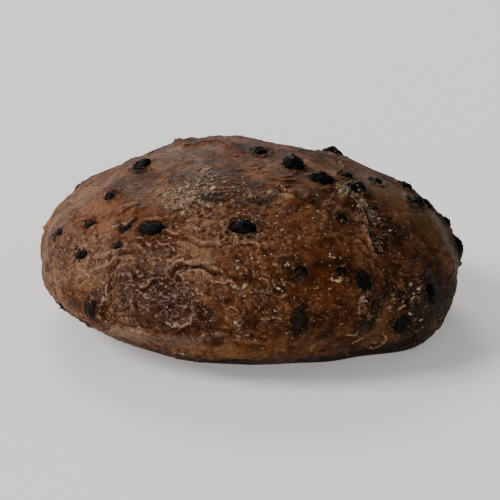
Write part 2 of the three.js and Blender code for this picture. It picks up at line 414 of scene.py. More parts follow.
# Torn skin and wrinkles that show on the front, on the crown and on both flanks, then guessed ones at the
# back. After a route come its height, slope, edge, lip, groove, pale and veil, as far as they are given.
SHOWN_FOLDS = (
    Fold(
        (
            (-24, 12), (-23.3, 14), (-21.9, 15.5), (-19.8, 16.5), (-15.9, 16.9), (-12, 16.8), (-9, 15.7),
            (-5.8, 14.8),
        ),
        1.8, 2.4, 1.1, 0.5, 1.5, 1.4,
    ),
    Fold(
        ((-9, 15.7), (-5.8, 14.8), (-1.3, 14.1), (3.3, 13.3), (5.6, 12), (6.2, 10.8)),
        1.1, 2.4, 0.8, 0.3, 0.8, 1,
    ),
    Fold(
        (
            (-8.4, 12.6), (-10.5, 14.1), (-12.6, 15.1), (-15.5, 15), (-17.3, 14.2), (-18.8, 12.9),
            (-18.3, 11.7), (-17, 11),
        ),
        0.9, 1.6, 0.6, 0.2, 0.4, 1.2,
    ),
    Fold(((-11.2, 13.2), (-8.3, 12.4), (-5.3, 12), (-1.6, 12.8)), 0.7, 1.4, 0.7, 0.1, 0.4, 1.1),
    Fold(
        ((-30.5, 7.6), (-29.4, 9), (-27.1, 10.6), (-24.9, 11.4), (-22.6, 10.6)),
        1.3, 1.8, 0.7, 0.4, 0.9, 1.3,
    ),
    Fold(
        ((-53, 8.4), (-47.9, 9), (-43.9, 10.5), (-40.9, 11.9), (-39.8, 13.8), (-38.8, 15.9)),
        1.3, 2, 0.8, 0.4, 0.8,
    ),
    Fold(((-51, 11), (-46, 13.4), (-42, 15.4), (-38, 17), (-31, 17.6)), 1.2, 2.2, 0.8, 0.3, 0.7, 0.9),
    Fold(((-50, 5.6), (-49, 7.2), (-47, 8.4), (-44, 8.6)), 0.9, 1.8, 0.9, 0.2, 0.5),
    Fold(
        ((-39.6, -3), (-39.6, 0.7), (-38.3, 4.9), (-39.5, 6.9), (-39.9, 10)),
        1.4, 1.8, 0.8, 0.3, 0.7, 1.1,
    ),
    Fold(((-43.5, -1), (-43.8, 3), (-42.6, 7)), 1, 1.6, 0.8, 0.2, 0.5, 1),
    Fold(((-31.5, -1.4), (-30.5, 2), (-31.5, 6)), 0.8, 1.6, 0.8, 0.2, 0.5, 0.9),
    Fold(
        ((-22, 1.8), (-21, 1.1), (-19.5, 0.3), (-16.6, 0.2), (-14.5, 1.7), (-13.5, 4.4)),
        2, 1.5, 0.7, 0.5, 1.2, 1.4, 0.8,
    ),
    Fold(
        (
            (-14, -2), (-16.8, -2.2), (-20.5, -3.1), (-25.1, -3.2), (-28.5, -2.9), (-34.6, -2.6),
            (-38.4, -4.3), (-43.1, -7),
        ),
        1.8, 3.2, 0.8, 0.6, 1.3, 0.9, 0.9,
    ),
    Fold(
        (
            (6, -3.6), (3.6, -3), (0.5, -2), (-2, -1.1), (-5.2, -0.6), (-10.3, -0.6), (-15, -2.6),
            (-18.5, -4.6),
        ),
        1.5, 2.4, 0.7, 0.3, 1.2, 0.7, 0.7,
    ),
    Fold(
        ((-20, 24), (-17.8, 23.4), (-14.2, 22.5), (-10.9, 22.2), (-6.4, 22.4)),
        0.8, 0.9, 0.8, 0.1, 0.4, 1.5,
    ),
    Fold(
        ((-5, 22.6), (-3.1, 23.1), (0.7, 23.5), (2.6, 23.3), (4.1, 21.8), (2.5, 20.6), (0.2, 21.2)),
        0.9, 1, 0.7, 0.1, 0.5, 1.4,
    ),
    Fold(
        ((-51, 21.4), (-45.7, 22.1), (-43.6, 23.6), (-42.1, 25.7), (-41.6, 27.4)),
        1.2, 1.8, 0.7, 0.4, 0.9, 1.3,
    ),
    Fold(((-37, 26.6), (-35.8, 26.9), (-32.5, 28), (-28.4, 27.9)), 0.8, 1.6, 0.7, 0.3, 0.5, 1),
    Fold(((-29, 24.2), (-27.1, 24.6), (-24.2, 24.7), (-21, 24.6)), 0.8, 1.3, 0.7, 0.2, 0.5, 1.3),
    Fold(((-49.7, 25.8), (-48.4, 27.7), (-47.3, 29.6), (-46.3, 32.4)), 0.9, 2, 0.7, 0.3, 0.7, 0.8),
    Fold(((-41, 20), (-35, 20.8), (-28, 20), (-20, 20.6)), 0.8, 1.8, 0.8, 0.2, 0.4, 0.9),
    Fold(((15, 46.6), (18.2, 44), (20.8, 41.9), (24, 39.3)), 1, 1.5, 0.8, 0.2, 0.6, 1.1),
    Fold(((-27.5, 44.5), (-23.5, 45.4), (-17.8, 45.4)), 0.6, 1.2, 0.8, 0.1, 0.2, 1.4),
    Fold(((-6, 4.4), (-5, 5.7), (-3.8, 6), (-2.1, 5)), 1, 1.2, 0.7, 0.1, 0.5, 1.3),
    Fold(
        (
            (38.9, 12.6), (39.1, 17.6), (40.7, 21.9), (43, 23.8), (44.8, 25.9), (45.9, 28.4), (47, 31.5),
            (47.2, 36), (46, 41),
        ),
        1.9, 2.8, 0.9, 0.3, 1.2, 1.1,
    ),
    Fold(((37.4, 16.8), (36.5, 19.3), (35.4, 21), (33.4, 23)), 0.8, 1.3, 0.8, 0.1, 0.5, 1.1),
    Fold(((36, -1), (37.3, 4), (38.3, 9), (38.9, 13.5)), 1.1, 2, 0.8, 0.2, 0.9, 0.7),
    Fold(
        ((37, -4), (39.9, -7.5), (40.9, -10.2), (39.8, -11.9), (36.4, -10.6)),
        1.2, 1.2, 0.8, 0.2, 0.7, 1.5,
    ),
    Fold(((25, -3.5), (27.6, -3), (30.4, -2.5)), 0.8, 1, 0.7, 0.1, 0.4, 1.3),
    Fold(((28.2, -6.9), (31.1, -5.9), (33.2, -4.8)), 0.8, 1, 0.7, 0.1, 0.4, 1.3),
    Fold(((22, -5), (30, -8), (37, -9), (44, -10)), 0.9, 2, 0.9, 0.3, 0.6, 0.9),
    Fold(((6, 8), (11, 9), (15, 8)), 0.8, 1.3, 0.7, 0.1, 0.4, 0.9),
    Fold(((2, 3), (7, 3.6), (10, 2.4)), 0.8, 1.3, 0.7, 0.1, 0.4, 1),
    Fold(((20, 22), (27, 23), (33, 21)), 0.7, 1.8, 0.9, 0.1, 0.3, 0.6),
    Fold(((60, 14), (67, 10), (72, 4)), 0.9, 2.2, 1, 0.2, 0.5, 0.6),
    Fold(((84, -3), (96, 1), (108, 0), (119, 4)), 1.6, 2.6, 1, 0.5, 0.9, 0.8),
    Fold(
        ((-152, 38), (-140, 43), (-128, 49), (-119, 57), (-106, 66), (-88, 77), (-30, 79)),
        1.7, 5, 2.4, 0, 0.15, 0,
    ),
    Fold(((-88, 18), (-80, 21), (-72, 20)), 0.8, 2.4, 1, 0.2, 0.4, 0.5),
    Fold(((-98, 6), (-90, 10), (-84, 11)), 0.9, 2.6, 1, 0.2, 0.5, 0.5),
    Fold(((128, 22), (141, 18), (155, 20), (168, 15)), 1.7, 3, 1, 0.6, 1, 0.9),
    Fold(((150, -6), (166, -3), (182, -5), (197, -2)), 1.9, 3, 1, 0.8, 1.2, 0.9),
    Fold(((188, 27), (199, 24), (211, 26)), 1.3, 2.4, 1, 0.5, 0.8, 0.8),
    Fold(((214, 9), (228, 6), (240, 10), (251, 8)), 1.6, 2.8, 1, 0.6, 1, 0.9),
)

# The burst of bare dough along the front foot, and swellings over sunk raisins.
BULGES = (
    Bulge(-6, -8, 54, 15, 2.2, 2),
    Bulge(11, 17, 11, 10, 1.6, 0),
    Bulge(24, 17, 9, 8, 1.4, 20),
    Bulge(22, 39, 15, 8, 1.3, -25),
    Bulge(-48, 29, 17, 8, 1.1, 25),
    Bulge(160, 33, 13, 10, 1.5, 30),
    Bulge(232, 26, 12, 9, 1.4, -15),
    Bulge(-51, 9, 5, 4, 0.9, 0),
    Bulge(-71, 10, 5, 4, 0.8, 0),
    Bulge(63, 10, 6, 5, 0.9, 10),
    Bulge(44, 35, 5, 4.5, 0.9, 0),
    Bulge(-23, -9, 9, 5, 0.8, 10),
)

# Patches of the crust with a look of their own, on the side that shows; some also stand for painted light and
# shade.
PATCHES = {
    Look.FLOUR: spots(
        (-27, 41, 14, 8, 0.7), (8, 40, 12, 4, 0.5), (49, 32, 3.5, 10, 1), (41, 20, 3, 7, 0.5),
        (49, 40, 4, 5, 0.5), (47, 0.5, 8, 6, 0.28), (42, -9, 10, 3.5, 0.25), (6, 27, 20, 9, 0.3),
        (30, 14, 10, 8, -0.2), (-34, 4, 14, 8, 0.35), (49, 7, 7, 7, 0.2), (-26, 54, 13, 5, 0.6),
        (-26, 37, 8, 4, 0.4), (31, 8.5, 4, 9, 0.3),
    ),
    # Soot, and low on the right flank and foot painted shade, where the loaf turns from the light.
    Look.CHAR: spots(
        (-18, 40.5, 10, 4.5, 1.05), (7, 39, 8, 2.4, 0.95), (10, 28, 5, 2, 0.5), (11.2, 16.5, 2.5, 2, 0.9),
        (13, 12.8, 4, 1.8, 0.9), (21, 15.6, 3, 1.6, 0.9), (25.5, 14.2, 2.5, 2, 0.6), (32, 9, 4.5, 6, 0.5),
        (44, -3, 7, 4, 0.9), (55, 1, 7, 6, 1), (68, -2, 8, 8, 0.9), (-11, 4, 4, 3.5, 0.6),
        (55, 40, 8, 6, 0.5), (70, 22, 6, 3.5, 0.6), (-23, -5, 6, 2, 0.6), (21, -10, 9, 4, 0.5),
        (78, 24, 8, 6, 0.4),
    ),
    # Golden skin; on the right flank also a painted highlight.
    Look.GOLD: spots(
        (52, -7, 12, 4, 0.5), (28, -9, 18, 5, 0.35), (64, 22, 12, 7, 0.4), (20, 48, 12, 10, 0.5),
        (10, 62, 30, 9, 0.6), (62, 50, 16, 8, 0.5), (-17, 42, 10, 5, 0.5), (60, 36, 12, 9, 0.6),
        (-40, 40, 10, 12, 0.4), (72, 20, 14, 18, 0.9), (36, 0, 6, 12, 0.6), (-3, -6, 13, 4.5, 1.1),
        (-60, 30, 16, 10, 0.5), (62, 46, 8, 5, 0.5),
    ),
    # Maroon skin; on the left edge also painted sheen, where light grazes the flank.
    Look.MAUVE: spots(
        (-66, 4, 11, 14, 0.5), (-25, 8, 14, 8, 0.9), (-30, 18, 12, 3.5, 0.5), (50, 32, 3, 9, 0.7),
    ),
    Look.RUST: spots(
        (-38, 30, 12, 6, 0.6), (16, 24, 24, 12, 1), (20, 49, 16, 8, 0.8), (-57, 22, 14, 11, 0.6),
        (8, 8, 12, 7, 0.5), (38, 0, 10, 7, 0.5),
    ),
    # Flour haze; on the left edge painted sheen, and on the right flank a painted highlight.
    Look.HAZE: spots(
        (-17, 42, 10, 5, 0.9), (100, 44, 26, 8, 0.5), (72, 17, 12, 14, 0.7), (80, 36, 14, 9, 0.8),
        (36, 2, 5, 10, 0.6), (-74, 14, 10, 20, 0.6), (-66, 4, 12, 14, 0.6), (-30, 4, 4, 3, 0.5),
        (-25, -4.5, 16, 3.5, 0.5), (-44, 12, 11, 10, 0.5), (-34, -5, 14, 3, 0.35),
    ),
}

# Places painted lighter, or darker where the amount is negative: partly how the bake differs, partly painted
# light and shade.
BAKE_AND_PAINTED_LIGHT = spots(
    # On the crown.
    (58, 46, 10, 6, 0.35), (50, 60, 12, 6, 0.35), (0, 66, 30, 8, -0.1), (10, 73, 30, 6, 0.3),
    (-25, 60, 12, 6, -0.25), (-36, 41, 5, 4, -0.3), (80, 50, 16, 6, 0.4), (-13, 44, 22, 7, 0.1),
    (-28, 52, 12, 8, -0.2), (0, 62, 30, 9, 0.2), (14, 40, 14, 6, 0.35), (20, 62, 20, 8, 0.25),
    # On the left flank.
    (-66, 8, 16, 24, 0.3), (-59, 14.5, 5, 4, 0.4), (-80, 13, 8, 6, 0.3), (-52, 0, 5, 3, -0.4),
    (-66, 34, 14, 8, -0.15), (-42, 12, 10, 9, 0.3), (-45, 16, 6, 5, 0.25), (-44, 1, 12, 4, -0.65),
    # On the front.
    (14, 27, 24, 9, 0.35), (11, 5, 4, 3, 0.3), (7, 35, 4, 3, -0.3), (-26.4, 4.4, 4, 3, 0.5),
    (-27, 16.5, 7, 3, 0.3), (-34, 3.5, 4, 3, -0.35), (18.5, 4.5, 4, 3, -0.35), (38, 31, 4, 4, 0.3),
    (38, 6, 6, 3, -0.35), (35, 15.5, 4, 4, 0.35), (-10, 26, 8, 5, 0.25), (-25, 27, 7, 7, 0.25),
    (-22, 17, 6, 3, 0.4), (-9, 28, 5, 3, 0.3), (-34, 25, 5, 3, 0.3), (-23, 10, 6, 4, 0.15),
    (-25, 8, 13, 7, -0.2), (12, 11, 7, 7, -0.4), (-20, 4, 10, 5, -0.3), (20, 1, 7, 4, -0.35),
    # Above the foot.
    (-6, -12, 10, 2.5, -0.4), (12, -14, 20, 2.5, -0.3), (24.5, -4, 5, 3, 0.25), (5, -3, 5, 3, 0.35),
    (28, -12, 8, 3, 0.4), (-34, -5, 13, 3, 0.65), (16, -10, 14, 4, 0.25), (-6, -5, 10, 4, 0.3),
    # On the right flank, where the darker spots are painted shade.
    (46, 33, 5, 6, -0.4), (50, 28, 4, 4, -0.4), (70, 22, 7, 5, -0.8), (48, 21, 6, 4, -0.4),
    (43, 15, 4, 5, -0.4), (49, -9.5, 6, 3, 0.4), (54, -1, 6, 4, -0.9), (60, 18, 7, 7, 0.15),
    (40, 22, 7, 12, 0.1), (60, 24, 10, 5, 0.4), (56, 1, 8, 7, -0.8), (46, -4, 10, 6, -0.9),
)

# Crumbs that can be told apart on the side that shows.
SHOWN_CRUMBS = tuple(
    Crumb(*row)
    for row in (
        (2.4, 41.5, 3.6, 0.25), (0.2, 44.6, 2.2, 0.3), (-1.7, 48.4, 1.9, 0.5), (-33.2, 41.7, 3.4, 0.8),
        (-25.2, 31.5, 3.2, 0.95), (-23.6, 31.2, 2, 0.8), (-15.8, 35.5, 2.8, 0.8), (-20.4, 36.9, 2.6, 0.5),
        (-17.8, 45.4, 2.2, 0.4), (-3.9, 11.3, 2.9, 0.75), (-2.7, 2.1, 2.5, 1), (22.6, 11.8, 1.7, 1),
        (24.7, 17.4, 2.6, 0.9), (26.8, 16.8, 1.7, 0.9), (25, 12, 2, 0.4), (12.9, 19.6, 2.2, 0.5),
        (13.9, 18.5, 1.8, 0.7), (7.2, 11.2, 2, 0.8), (13.8, 7.8, 1.7, 0.9), (12, 8.2, 1.5, 0.9),
        (11, 16.9, 2.6, 0.75), (18.5, 10.2, 1.3, 0.8), (-24.5, 26.5, 1.6, 0.9), (-23, 25.5, 1.3, 0.8),
        (-25.5, 27.5, 1.2, 0.7), (-3, 30.3, 1.3, 0.8), (-0.5, 30.5, 1.4, 0.9), (1.5, 30, 1.1, 0.7),
        (54.8, 37.6, 2.2, 0.7), (50.5, 31, 2.4, 0.8), (48, 29.8, 1.8, 0.9), (44.6, 26, 2.2, 0.7),
        (42, 22, 1.8, 0.9), (-32, 44.5, 2.8, 0.8), (-30.5, 38.5, 2.4, 0.9), (-28.5, 47.5, 2.4, 0.7),
        (-26.5, 34, 2.8, 0.9), (-23, 50, 2.6, 0.8), (-14, 48, 2.6, 0.7), (-11, 36.5, 2.2, 0.8),
        (-6.5, 38.5, 2.4, 0.7), (-8, 45.5, 2.2, 0.6), (-3.6, 33.2, 1.6, 0.9), (0.9, 32.9, 1.8, 0.8),
        (5.2, 31.5, 1.5, 0.7), (-21, 29, 1.6, 0.8), (-17.6, 26.8, 1.9, 0.7), (-26.3, 24.9, 1.6, 0.6),
        (56.6, 39.4, 2.2, 0.8), (53.3, 36, 2.4, 0.9), (52, 33.5, 1.8, 0.7), (46.4, 28, 2, 0.9),
        (43.4, 24.2, 1.6, 0.8), (40.8, 19.6, 2, 0.8), (39.2, 15.5, 1.5, 0.7), (23.9, 17.7, 1.9, 0.9),
        (-27.7, 15.3, 2.2, 0.6), (-29.2, 15.8, 2.4, 0.7), (-26.8, 14.2, 1.8, 0.6), (46, 30.5, 2.4, 0.6),
        (48.6, 36.7, 2.6, 0.6), (44.4, 26.4, 2, 0.8), (42.7, 21.8, 2.2, 0.7), (18.2, 44.2, 2.2, 0.5),
        (-14.5, 8.5, 1.6, 0.8), (-12.2, 8.8, 1.5, 0.9),
    )
)


@dataclass(frozen=True)
class PackedRaisin:
    """A packed raisin's place and size, measured on its node."""

    node: str
    middle: np.ndarray
    along: np.ndarray
    across: np.ndarray
    out: np.ndarray
    half_length: float
    half_width: float

    @classmethod
    def measure(cls, node: str, form: LoafForm) -> "PackedRaisin":
        """Measures a packed raisin.

        Args:
            node: The raisin's node.
            form: The loaf, which gives the way out of the crust.

        Returns:
            The raisin's place, its own directions in the crust and its half sizes.
        """
        corners = points_of(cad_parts[node].data)
        middle = (corners.max(axis=0) + corners.min(axis=0)) / 2
        _, level, up, out = form.axes_at(*form.place_of(middle))
        flat = np.stack([(corners - middle) @ level, (corners - middle) @ up], axis=-1)
        _, turns = np.linalg.eigh(np.cov(flat.T))
        along = turns[0, 1] * level + turns[1, 1] * up
        across = np.cross(out, along)
        half_length = np.abs((corners - middle) @ along).max()
        half_width = np.abs((corners - middle) @ across).max()
        return cls(node, middle, along, across, out, half_length, half_width)


def linear(colour: str) -> tuple[float, float, float, float]:
    """Turns an sRGB hex colour into the linear colour that a shader takes."""
    shares = [int(colour[i : i + 2], 16) / 255 for i in (1, 3, 5)]
    red, green, blue = (s / 12.92 if s <= 0.04045 else ((s + 0.055) / 1.055) ** 2.4 for s in shares)
    return red, green, blue, 1.0


def add_node(
    tree: bpy.types.NodeTree,
    kind: str,
    settings: dict[str | int, object] | None = None,
    links: dict[str | int, bpy.types.NodeSocket] | None = None,
) -> bpy.types.Node:
    """Adds a shader node.

    Args:
        tree: The material's node tree.
        kind: The node's type.
        settings: Values of its sockets, by name or number, and of its properties. Stops are a ramp's
            places and colours, and any other value that is written as a hex colour is one.
        links: What feeds its sockets, by name or number.

    Returns:
        The new node.
    """
    node = tree.nodes.new(kind)
    for name, value in (settings or {}).items():
        if name == "stops":
            elements = node.color_ramp.elements
            while len(elements) < len(value):
                elements.new(0.5)
            for element, (place, colour) in zip(elements, value):
                element.position = place
                element.color = linear(colour)
        elif isinstance(name, int) or name in node.inputs:
            is_colour = isinstance(value, str) and value.startswith("#")
            node.inputs[name].default_value = linear(value) if is_colour else value
        else:
            setattr(node, name, value)
    for name, source in (links or {}).items():
        tree.links.new(source, node.inputs[name])
    return node


def new_material(name: str) -> tuple[bpy.types.Material, bpy.types.NodeTree]:
    """Returns a new empty material and its node tree."""
    material = bpy.data.materials.new(name)
    material.use_nodes = True
    material.node_tree.nodes.clear()
    return material, material.node_tree


@dataclass(frozen=True)
class Pattern:
    """An uneven pattern in space, with a bump about as large as a real one."""

    name: str
    size_mm: float
    detail: float = 3.0
    roughness: float = 0.6
    distortion: float = 0.0
    stretch: float = 1.0


@dataclass(frozen=True)
class Layer:
    """A colour that covers the surface where a weighted sum of patterns is high enough."""

    colour: str
    shares: dict[str, float]
    start: float
    full: float
    cover: float = 1.0


Sources = dict[str, bpy.types.NodeSocket]


def weigh(tree: bpy.types.NodeTree, sources: Sources, shares: dict[str, float]) -> bpy.types.NodeSocket:
    """Adds up patterns.

    Args:
        tree: The material's node tree.
        sources: The patterns by name.
        shares: The weight of each pattern in the sum.

    Returns:
        The sum.
    """
    total = None
    for name, share in shares.items():
        links = {0: sources[name]} if total is None else {0: sources[name], 2: total}
        settings = {"operation": "MULTIPLY_ADD", 1: share, 2: 0.0}
        total = add_node(tree, "ShaderNodeMath", settings, links).outputs[0]
    return total


def lay(
    tree: bpy.types.NodeTree, sources: Sources, under: bpy.types.NodeSocket, layers: tuple[Layer, ...]
) -> bpy.types.NodeSocket:
    """Lays colours over a colour.

    Args:
        tree: The material's node tree.
        sources: The patterns by name.
        under: The colour that lies under the first layer.
        layers: The layers, the lowest first.

    Returns:
        The colour that shows.
    """
    for layer in layers:
        reach = {
            "interpolation_type": "SMOOTHSTEP",
            "From Min": layer.start,
            "From Max": layer.full,
            "To Max": layer.cover,
        }
        value = weigh(tree, sources, layer.shares)
        share = add_node(tree, "ShaderNodeMapRange", reach, {"Value": value}).outputs["Result"]
        settings = {"data_type": "RGBA", 7: layer.colour}
        under = add_node(tree, "ShaderNodeMix", settings, {0: share, 6: under}).outputs[2]
    return under


def patterns_of(
    tree: bpy.types.NodeTree, attributes: tuple[str, ...], patterns: tuple[Pattern, ...]
) -> Sources:
    """Adds a material's patterns.

    Args:
        tree: The material's node tree.
        attributes: The piece's point attributes that the material reads.
        patterns: The patterns in space.

    Returns:
        Every pattern and attribute by name, and the place itself.
    """
    place = add_node(tree, "ShaderNodeTexCoord").outputs["Object"]
    sources = {"place": place}
    for name in attributes:
        sources[name] = add_node(tree, "ShaderNodeAttribute", {"attribute_name": name}).outputs["Fac"]
    for pattern in patterns:
        drawn = {"Scale": (1, 1, pattern.stretch)}
        drawn_at = add_node(tree, "ShaderNodeMapping", drawn, {"Vector": place}).outputs["Vector"]
        settings = {
            "Scale": 1 / (pattern.size_mm * MM),
            "Detail": pattern.detail,
            "Roughness": pattern.roughness,
            "Distortion": pattern.distortion,
        }
        noise = add_node(tree, "ShaderNodeTexNoise", settings, {"Vector": drawn_at})
        sources[pattern.name] = noise.outputs["Fac"]
    return sources


@dataclass(frozen=True)
class BakedCrust:
    """Wheat crust baked dark on a hearth.

    That gives the eye a dull brown skin, orange where it is thin and smooth, maroon in the hollows, where
    shade is also painted, tan on every raised edge, partly a painted highlight, sooty in spots and dusted
    all over with fine flour.
    """

    bake: tuple[tuple[float, str], ...] = (
        (0.14, "#180c08"),
        (0.34, "#351b0f"),
        (0.55, "#5a341d"),
        (0.8, "#855e44"),
    )
    bake_start: float = 0.77
    bake_full: float = 2.07
    speck: str = "#aa9480"
    speck_mm: float = 1.9
    # Mottling and blotches of the bake, wheat grain and grit, dust, and level streaks of wrinkled skin.
    patterns: tuple[Pattern, ...] = (
        Pattern("mottle", 8.0, 4, 0.6, 0.6),
        Pattern("blotch", 4.2, 3, 0.6, 0.8),
        Pattern("grain", 1.6, 2, 0.55),
        Pattern("dust", 1.1, 1, 0.5),
        Pattern("fleck", 2.3, 2, 0.55, 0.6, 1.6),
        Pattern("streak", 4.0, 3, 0.6, 1.2, 3.6),
        Pattern("wrinkle", 3.8, 4, 0.6, 1.2, 1.8),
        Pattern("crinkle", 3.0, 4, 0.6, 1.6, 3.0),
        Pattern("grit", 1.1, 2, 0.6, 0.3),
    )
    layers: tuple[Layer, ...] = (
        # Orange and golden skin, where the dough was thin and smooth.
        Layer("#6b3513", {"rust": 0.8, "mottle": 0.9}, 0.8, 1.5, 0.6),
        Layer("#6d451d", {"gold": 0.9, "mottle": 0.8}, 0.8, 1.4, 0.65),
        # Maroon skin, greyed by steam, with dark gaps, partly painted shade in its wrinkles.
        Layer("#3a231f", {"mauve": 1.0, "blotch": 1.0}, 0.85, 1.4, 0.8),
        Layer("#4e383b", {"mauve": 0.7, "blotch": 0.9, "mottle": 0.9}, 1.5, 1.85, 0.7),
        Layer("#1c0e0c", {"mauve": 0.7, "fleck": -1.0, "wrinkle": -0.7}, -0.16, 0.1, 0.7),
        # Dark blotches, and painted shade in the hollows and wrinkle troughs.
        Layer(
            "#260e05",
            {"relief": -0.7, "blotch": -0.6, "wrinkle": -0.7, "mottle": -0.3},
            -1.02, -0.7, 0.65,
        ),
        Layer(
            "#34170b",
            {"mottle": -1.0, "blotch": -0.8, "streak": -0.4, "tone": 0.3},
            -1.0, -0.8, 0.5,
        ),
        # Tan streaks and flecks of dry skin, and a painted highlight on crests and wrinkle ridges.
        Layer(
            "#856047",
            {"relief": 0.7, "wrinkle": 0.6, "crinkle": 0.7, "tone": 0.22, "mauve": -0.1},
            1.1, 1.52, 0.5,
        ),
        Layer(
            "#8b6951",
            {"streak": 1.0, "blotch": 0.5, "flour": 0.15, "tone": 0.24, "mauve": -0.08},
            0.88, 1.18, 0.5,
        ),
        Layer(
            "#9c7d66",
            {"fleck": 1.0, "grain": 0.6, "relief": 0.4, "flour": 0.15, "tone": 0.24},
            1.18, 1.44, 0.55,
        ),
        Layer("#93756b", {"mauve": 0.35, "fleck": 0.5, "grain": 1.2, "relief": 0.5}, 1.54, 1.76, 0.7),
        # Pores: dark specks, partly painted shade where the grit bump dips.
        Layer("#1b0c05", {"grain": -1.0, "grit": -0.6, "char": 0.1}, -0.72, -0.5, 0.22),
        # A haze of fine flour, greyer on maroon skin and yellower on golden skin, and also a painted sheen on
        # the left edge and a painted highlight on the right flank.
        Layer("#786055", {"haze": 0.6, "mottle": 0.6, "streak": 1.0, "grain": 0.9}, 1.5, 2.05, 0.6),
        Layer(
            "#4f3f28",
            {"gold": 0.7, "haze": 0.7, "streak": 0.8, "grain": 0.9, "blotch": 0.9},
            2.1, 2.8, 0.7,
        ),
        Layer("#8c7968", {"flour": 0.5, "dust": 0.9, "blotch": 0.8}, 1.15, 1.42, 0.6),
        # Soot, partly painted shade low on the right flank; the red-brown clefts under torn skin, painted as
        # shade under the lip; and its pale rims, partly a painted highlight where light catches the lip.
        Layer("#19150b", {"char": 0.8, "blotch": 1.0, "grain": 0.5}, 1.1, 1.44, 0.85),
        Layer("#3a1408", {"cleft": 1.0, "blotch": 0.5}, 0.6, 1.1, 0.7),
        Layer("#a5826b", {"rim": 0.9, "grain": 0.6, "blotch": 0.6}, 0.98, 1.45, 0.75),
    )
    wrinkle_depth_mm: float = 0.28
    grit_depth_mm: float = 0.09

    def material(self) -> bpy.types.Material:
        """Builds the crust's material from its patches' attributes and patterns at real sizes."""
        material, tree = new_material("wheat_crust_baked_dark")
        looks = tuple(look.value for look in Look)
        sources = patterns_of(tree, ("relief", "tone", "rim", "cleft", *looks), self.patterns)
        shares = {"mottle": 1.4, "blotch": 0.75, "grain": 0.5, "grit": 0.3, "tone": 0.5}
        settings = {"From Min": self.bake_start, "From Max": self.bake_full}
        links = {"Value": weigh(tree, sources, shares)}
        baked = add_node(tree, "ShaderNodeMapRange", settings, links).outputs["Result"]
        colour = add_node(tree, "ShaderNodeValToRGB", {"stops": self.bake}, {"Fac": baked}).outputs["Color"]
        colour = lay(tree, sources, colour, self.layers)
        colour = self._specks(tree, sources, colour)

        links = {"Height": sources["wrinkle"]}
        settings = {"Distance": self.wrinkle_depth_mm * MM}
        wrinkled = add_node(tree, "ShaderNodeBump", settings, links).outputs["Normal"]
        links = {"Height": sources["grit"], "Normal": wrinkled}
        settings = {"Distance": self.grit_depth_mm * MM}
        normal = add_node(tree, "ShaderNodeBump", settings, links).outputs["Normal"]
        settings = {"From Min": 0.3, "From Max": 0.7, "To Min": 0.5, "To Max": 0.8}
        rough = add_node(tree, "ShaderNodeMapRange", settings, {"Value": sources["blotch"]}).outputs["Result"]
        shader = add_node(
            tree,
            "ShaderNodeBsdfPrincipled",
            {
                "IOR": 1.45,
                "Specular IOR Level": 0.2,
                "Specular Tint": "#d8a878",
                "Sheen Weight": 0.03,
                "Sheen Roughness": 0.4,
                "Sheen Tint": "#c8a888",
            },
            {"Base Color": colour, "Roughness": rough, "Normal": normal},
        )
        add_node(tree, "ShaderNodeOutputMaterial", {}, {"Surface": shader.outputs["BSDF"]})
        return material

    def _specks(
        self, tree: bpy.types.NodeTree, sources: Sources, under: bpy.types.NodeSocket
    ) -> bpy.types.NodeSocket:
        """Dots a colour with specks of flour, each of its own size.

        Args:
            tree: The material's node tree.
            sources: The patterns by name.
            under: The colour to be dotted.

        Returns:
            The colour that shows.
        """
        settings = {"Scale": 1 / (self.speck_mm * MM)}
        cells = add_node(tree, "ShaderNodeTexVoronoi", settings, {"Vector": sources["place"]})
        drawn = add_node(tree, "ShaderNodeSeparateColor", {}, {"Color": cells.outputs["Color"]})
        sources = dict(sources, away=cells.outputs["Distance"], drawn=drawn.outputs["Red"])
        specks = Layer(self.speck, {"away": -1.0, "drawn": 0.4, "flour": 0.12}, 0.2, 0.42, 0.36)
        return lay(tree, sources, under, (specks,))


@dataclass(frozen=True)
class DriedRaisin:
    """Dried grape skin, baked: near black, with a dull bloom on its wrinkles and a soft gloss."""

    skin: tuple[tuple[float, str], ...] = ((0.2, "#040302"), (0.6, "#0a0807"), (1.0, "#181312"))
    patterns: tuple[Pattern, ...] = (Pattern("patch", 4.0, 3), Pattern("fine", 0.8, 3))
    dust: Layer = Layer("#3a2a1e", {"haze": 0.8, "patch": 0.6, "fine": 0.7}, 0.95, 1.35, 0.85)
    bump_depth_mm: float = 0.12

    def material(self) -> bpy.types.Material:
        """Builds the raisins' material from their wrinkles' attribute and fine patterns."""
        material, tree = new_material("dried_raisin_skin")
        sources = patterns_of(tree, ("crest", "haze"), self.patterns)
        settings = {"stops": self.skin}
        colour = add_node(tree, "ShaderNodeValToRGB", settings, {"Fac": sources["crest"]}).outputs["Color"]
        colour = lay(tree, sources, colour, (self.dust,))
        settings = {"Distance": self.bump_depth_mm * MM}
        bump = add_node(tree, "ShaderNodeBump", settings, {"Height": sources["fine"]}).outputs["Normal"]
        settings = {"From Min": 0.3, "From Max": 0.8, "To Min": 0.4, "To Max": 0.7}
        rough = add_node(tree, "ShaderNodeMapRange", settings, {"Value": sources["patch"]}).outputs["Result"]
        settings = {"IOR": 1.47, "Specular IOR Level": 0.08}
        links = {"Base Color": colour, "Roughness": rough, "Normal": bump}
        shader = add_node(tree, "ShaderNodeBsdfPrincipled", settings, links)
        add_node(tree, "ShaderNodeOutputMaterial", {}, {"Surface": shader.outputs["BSDF"]})
        return material


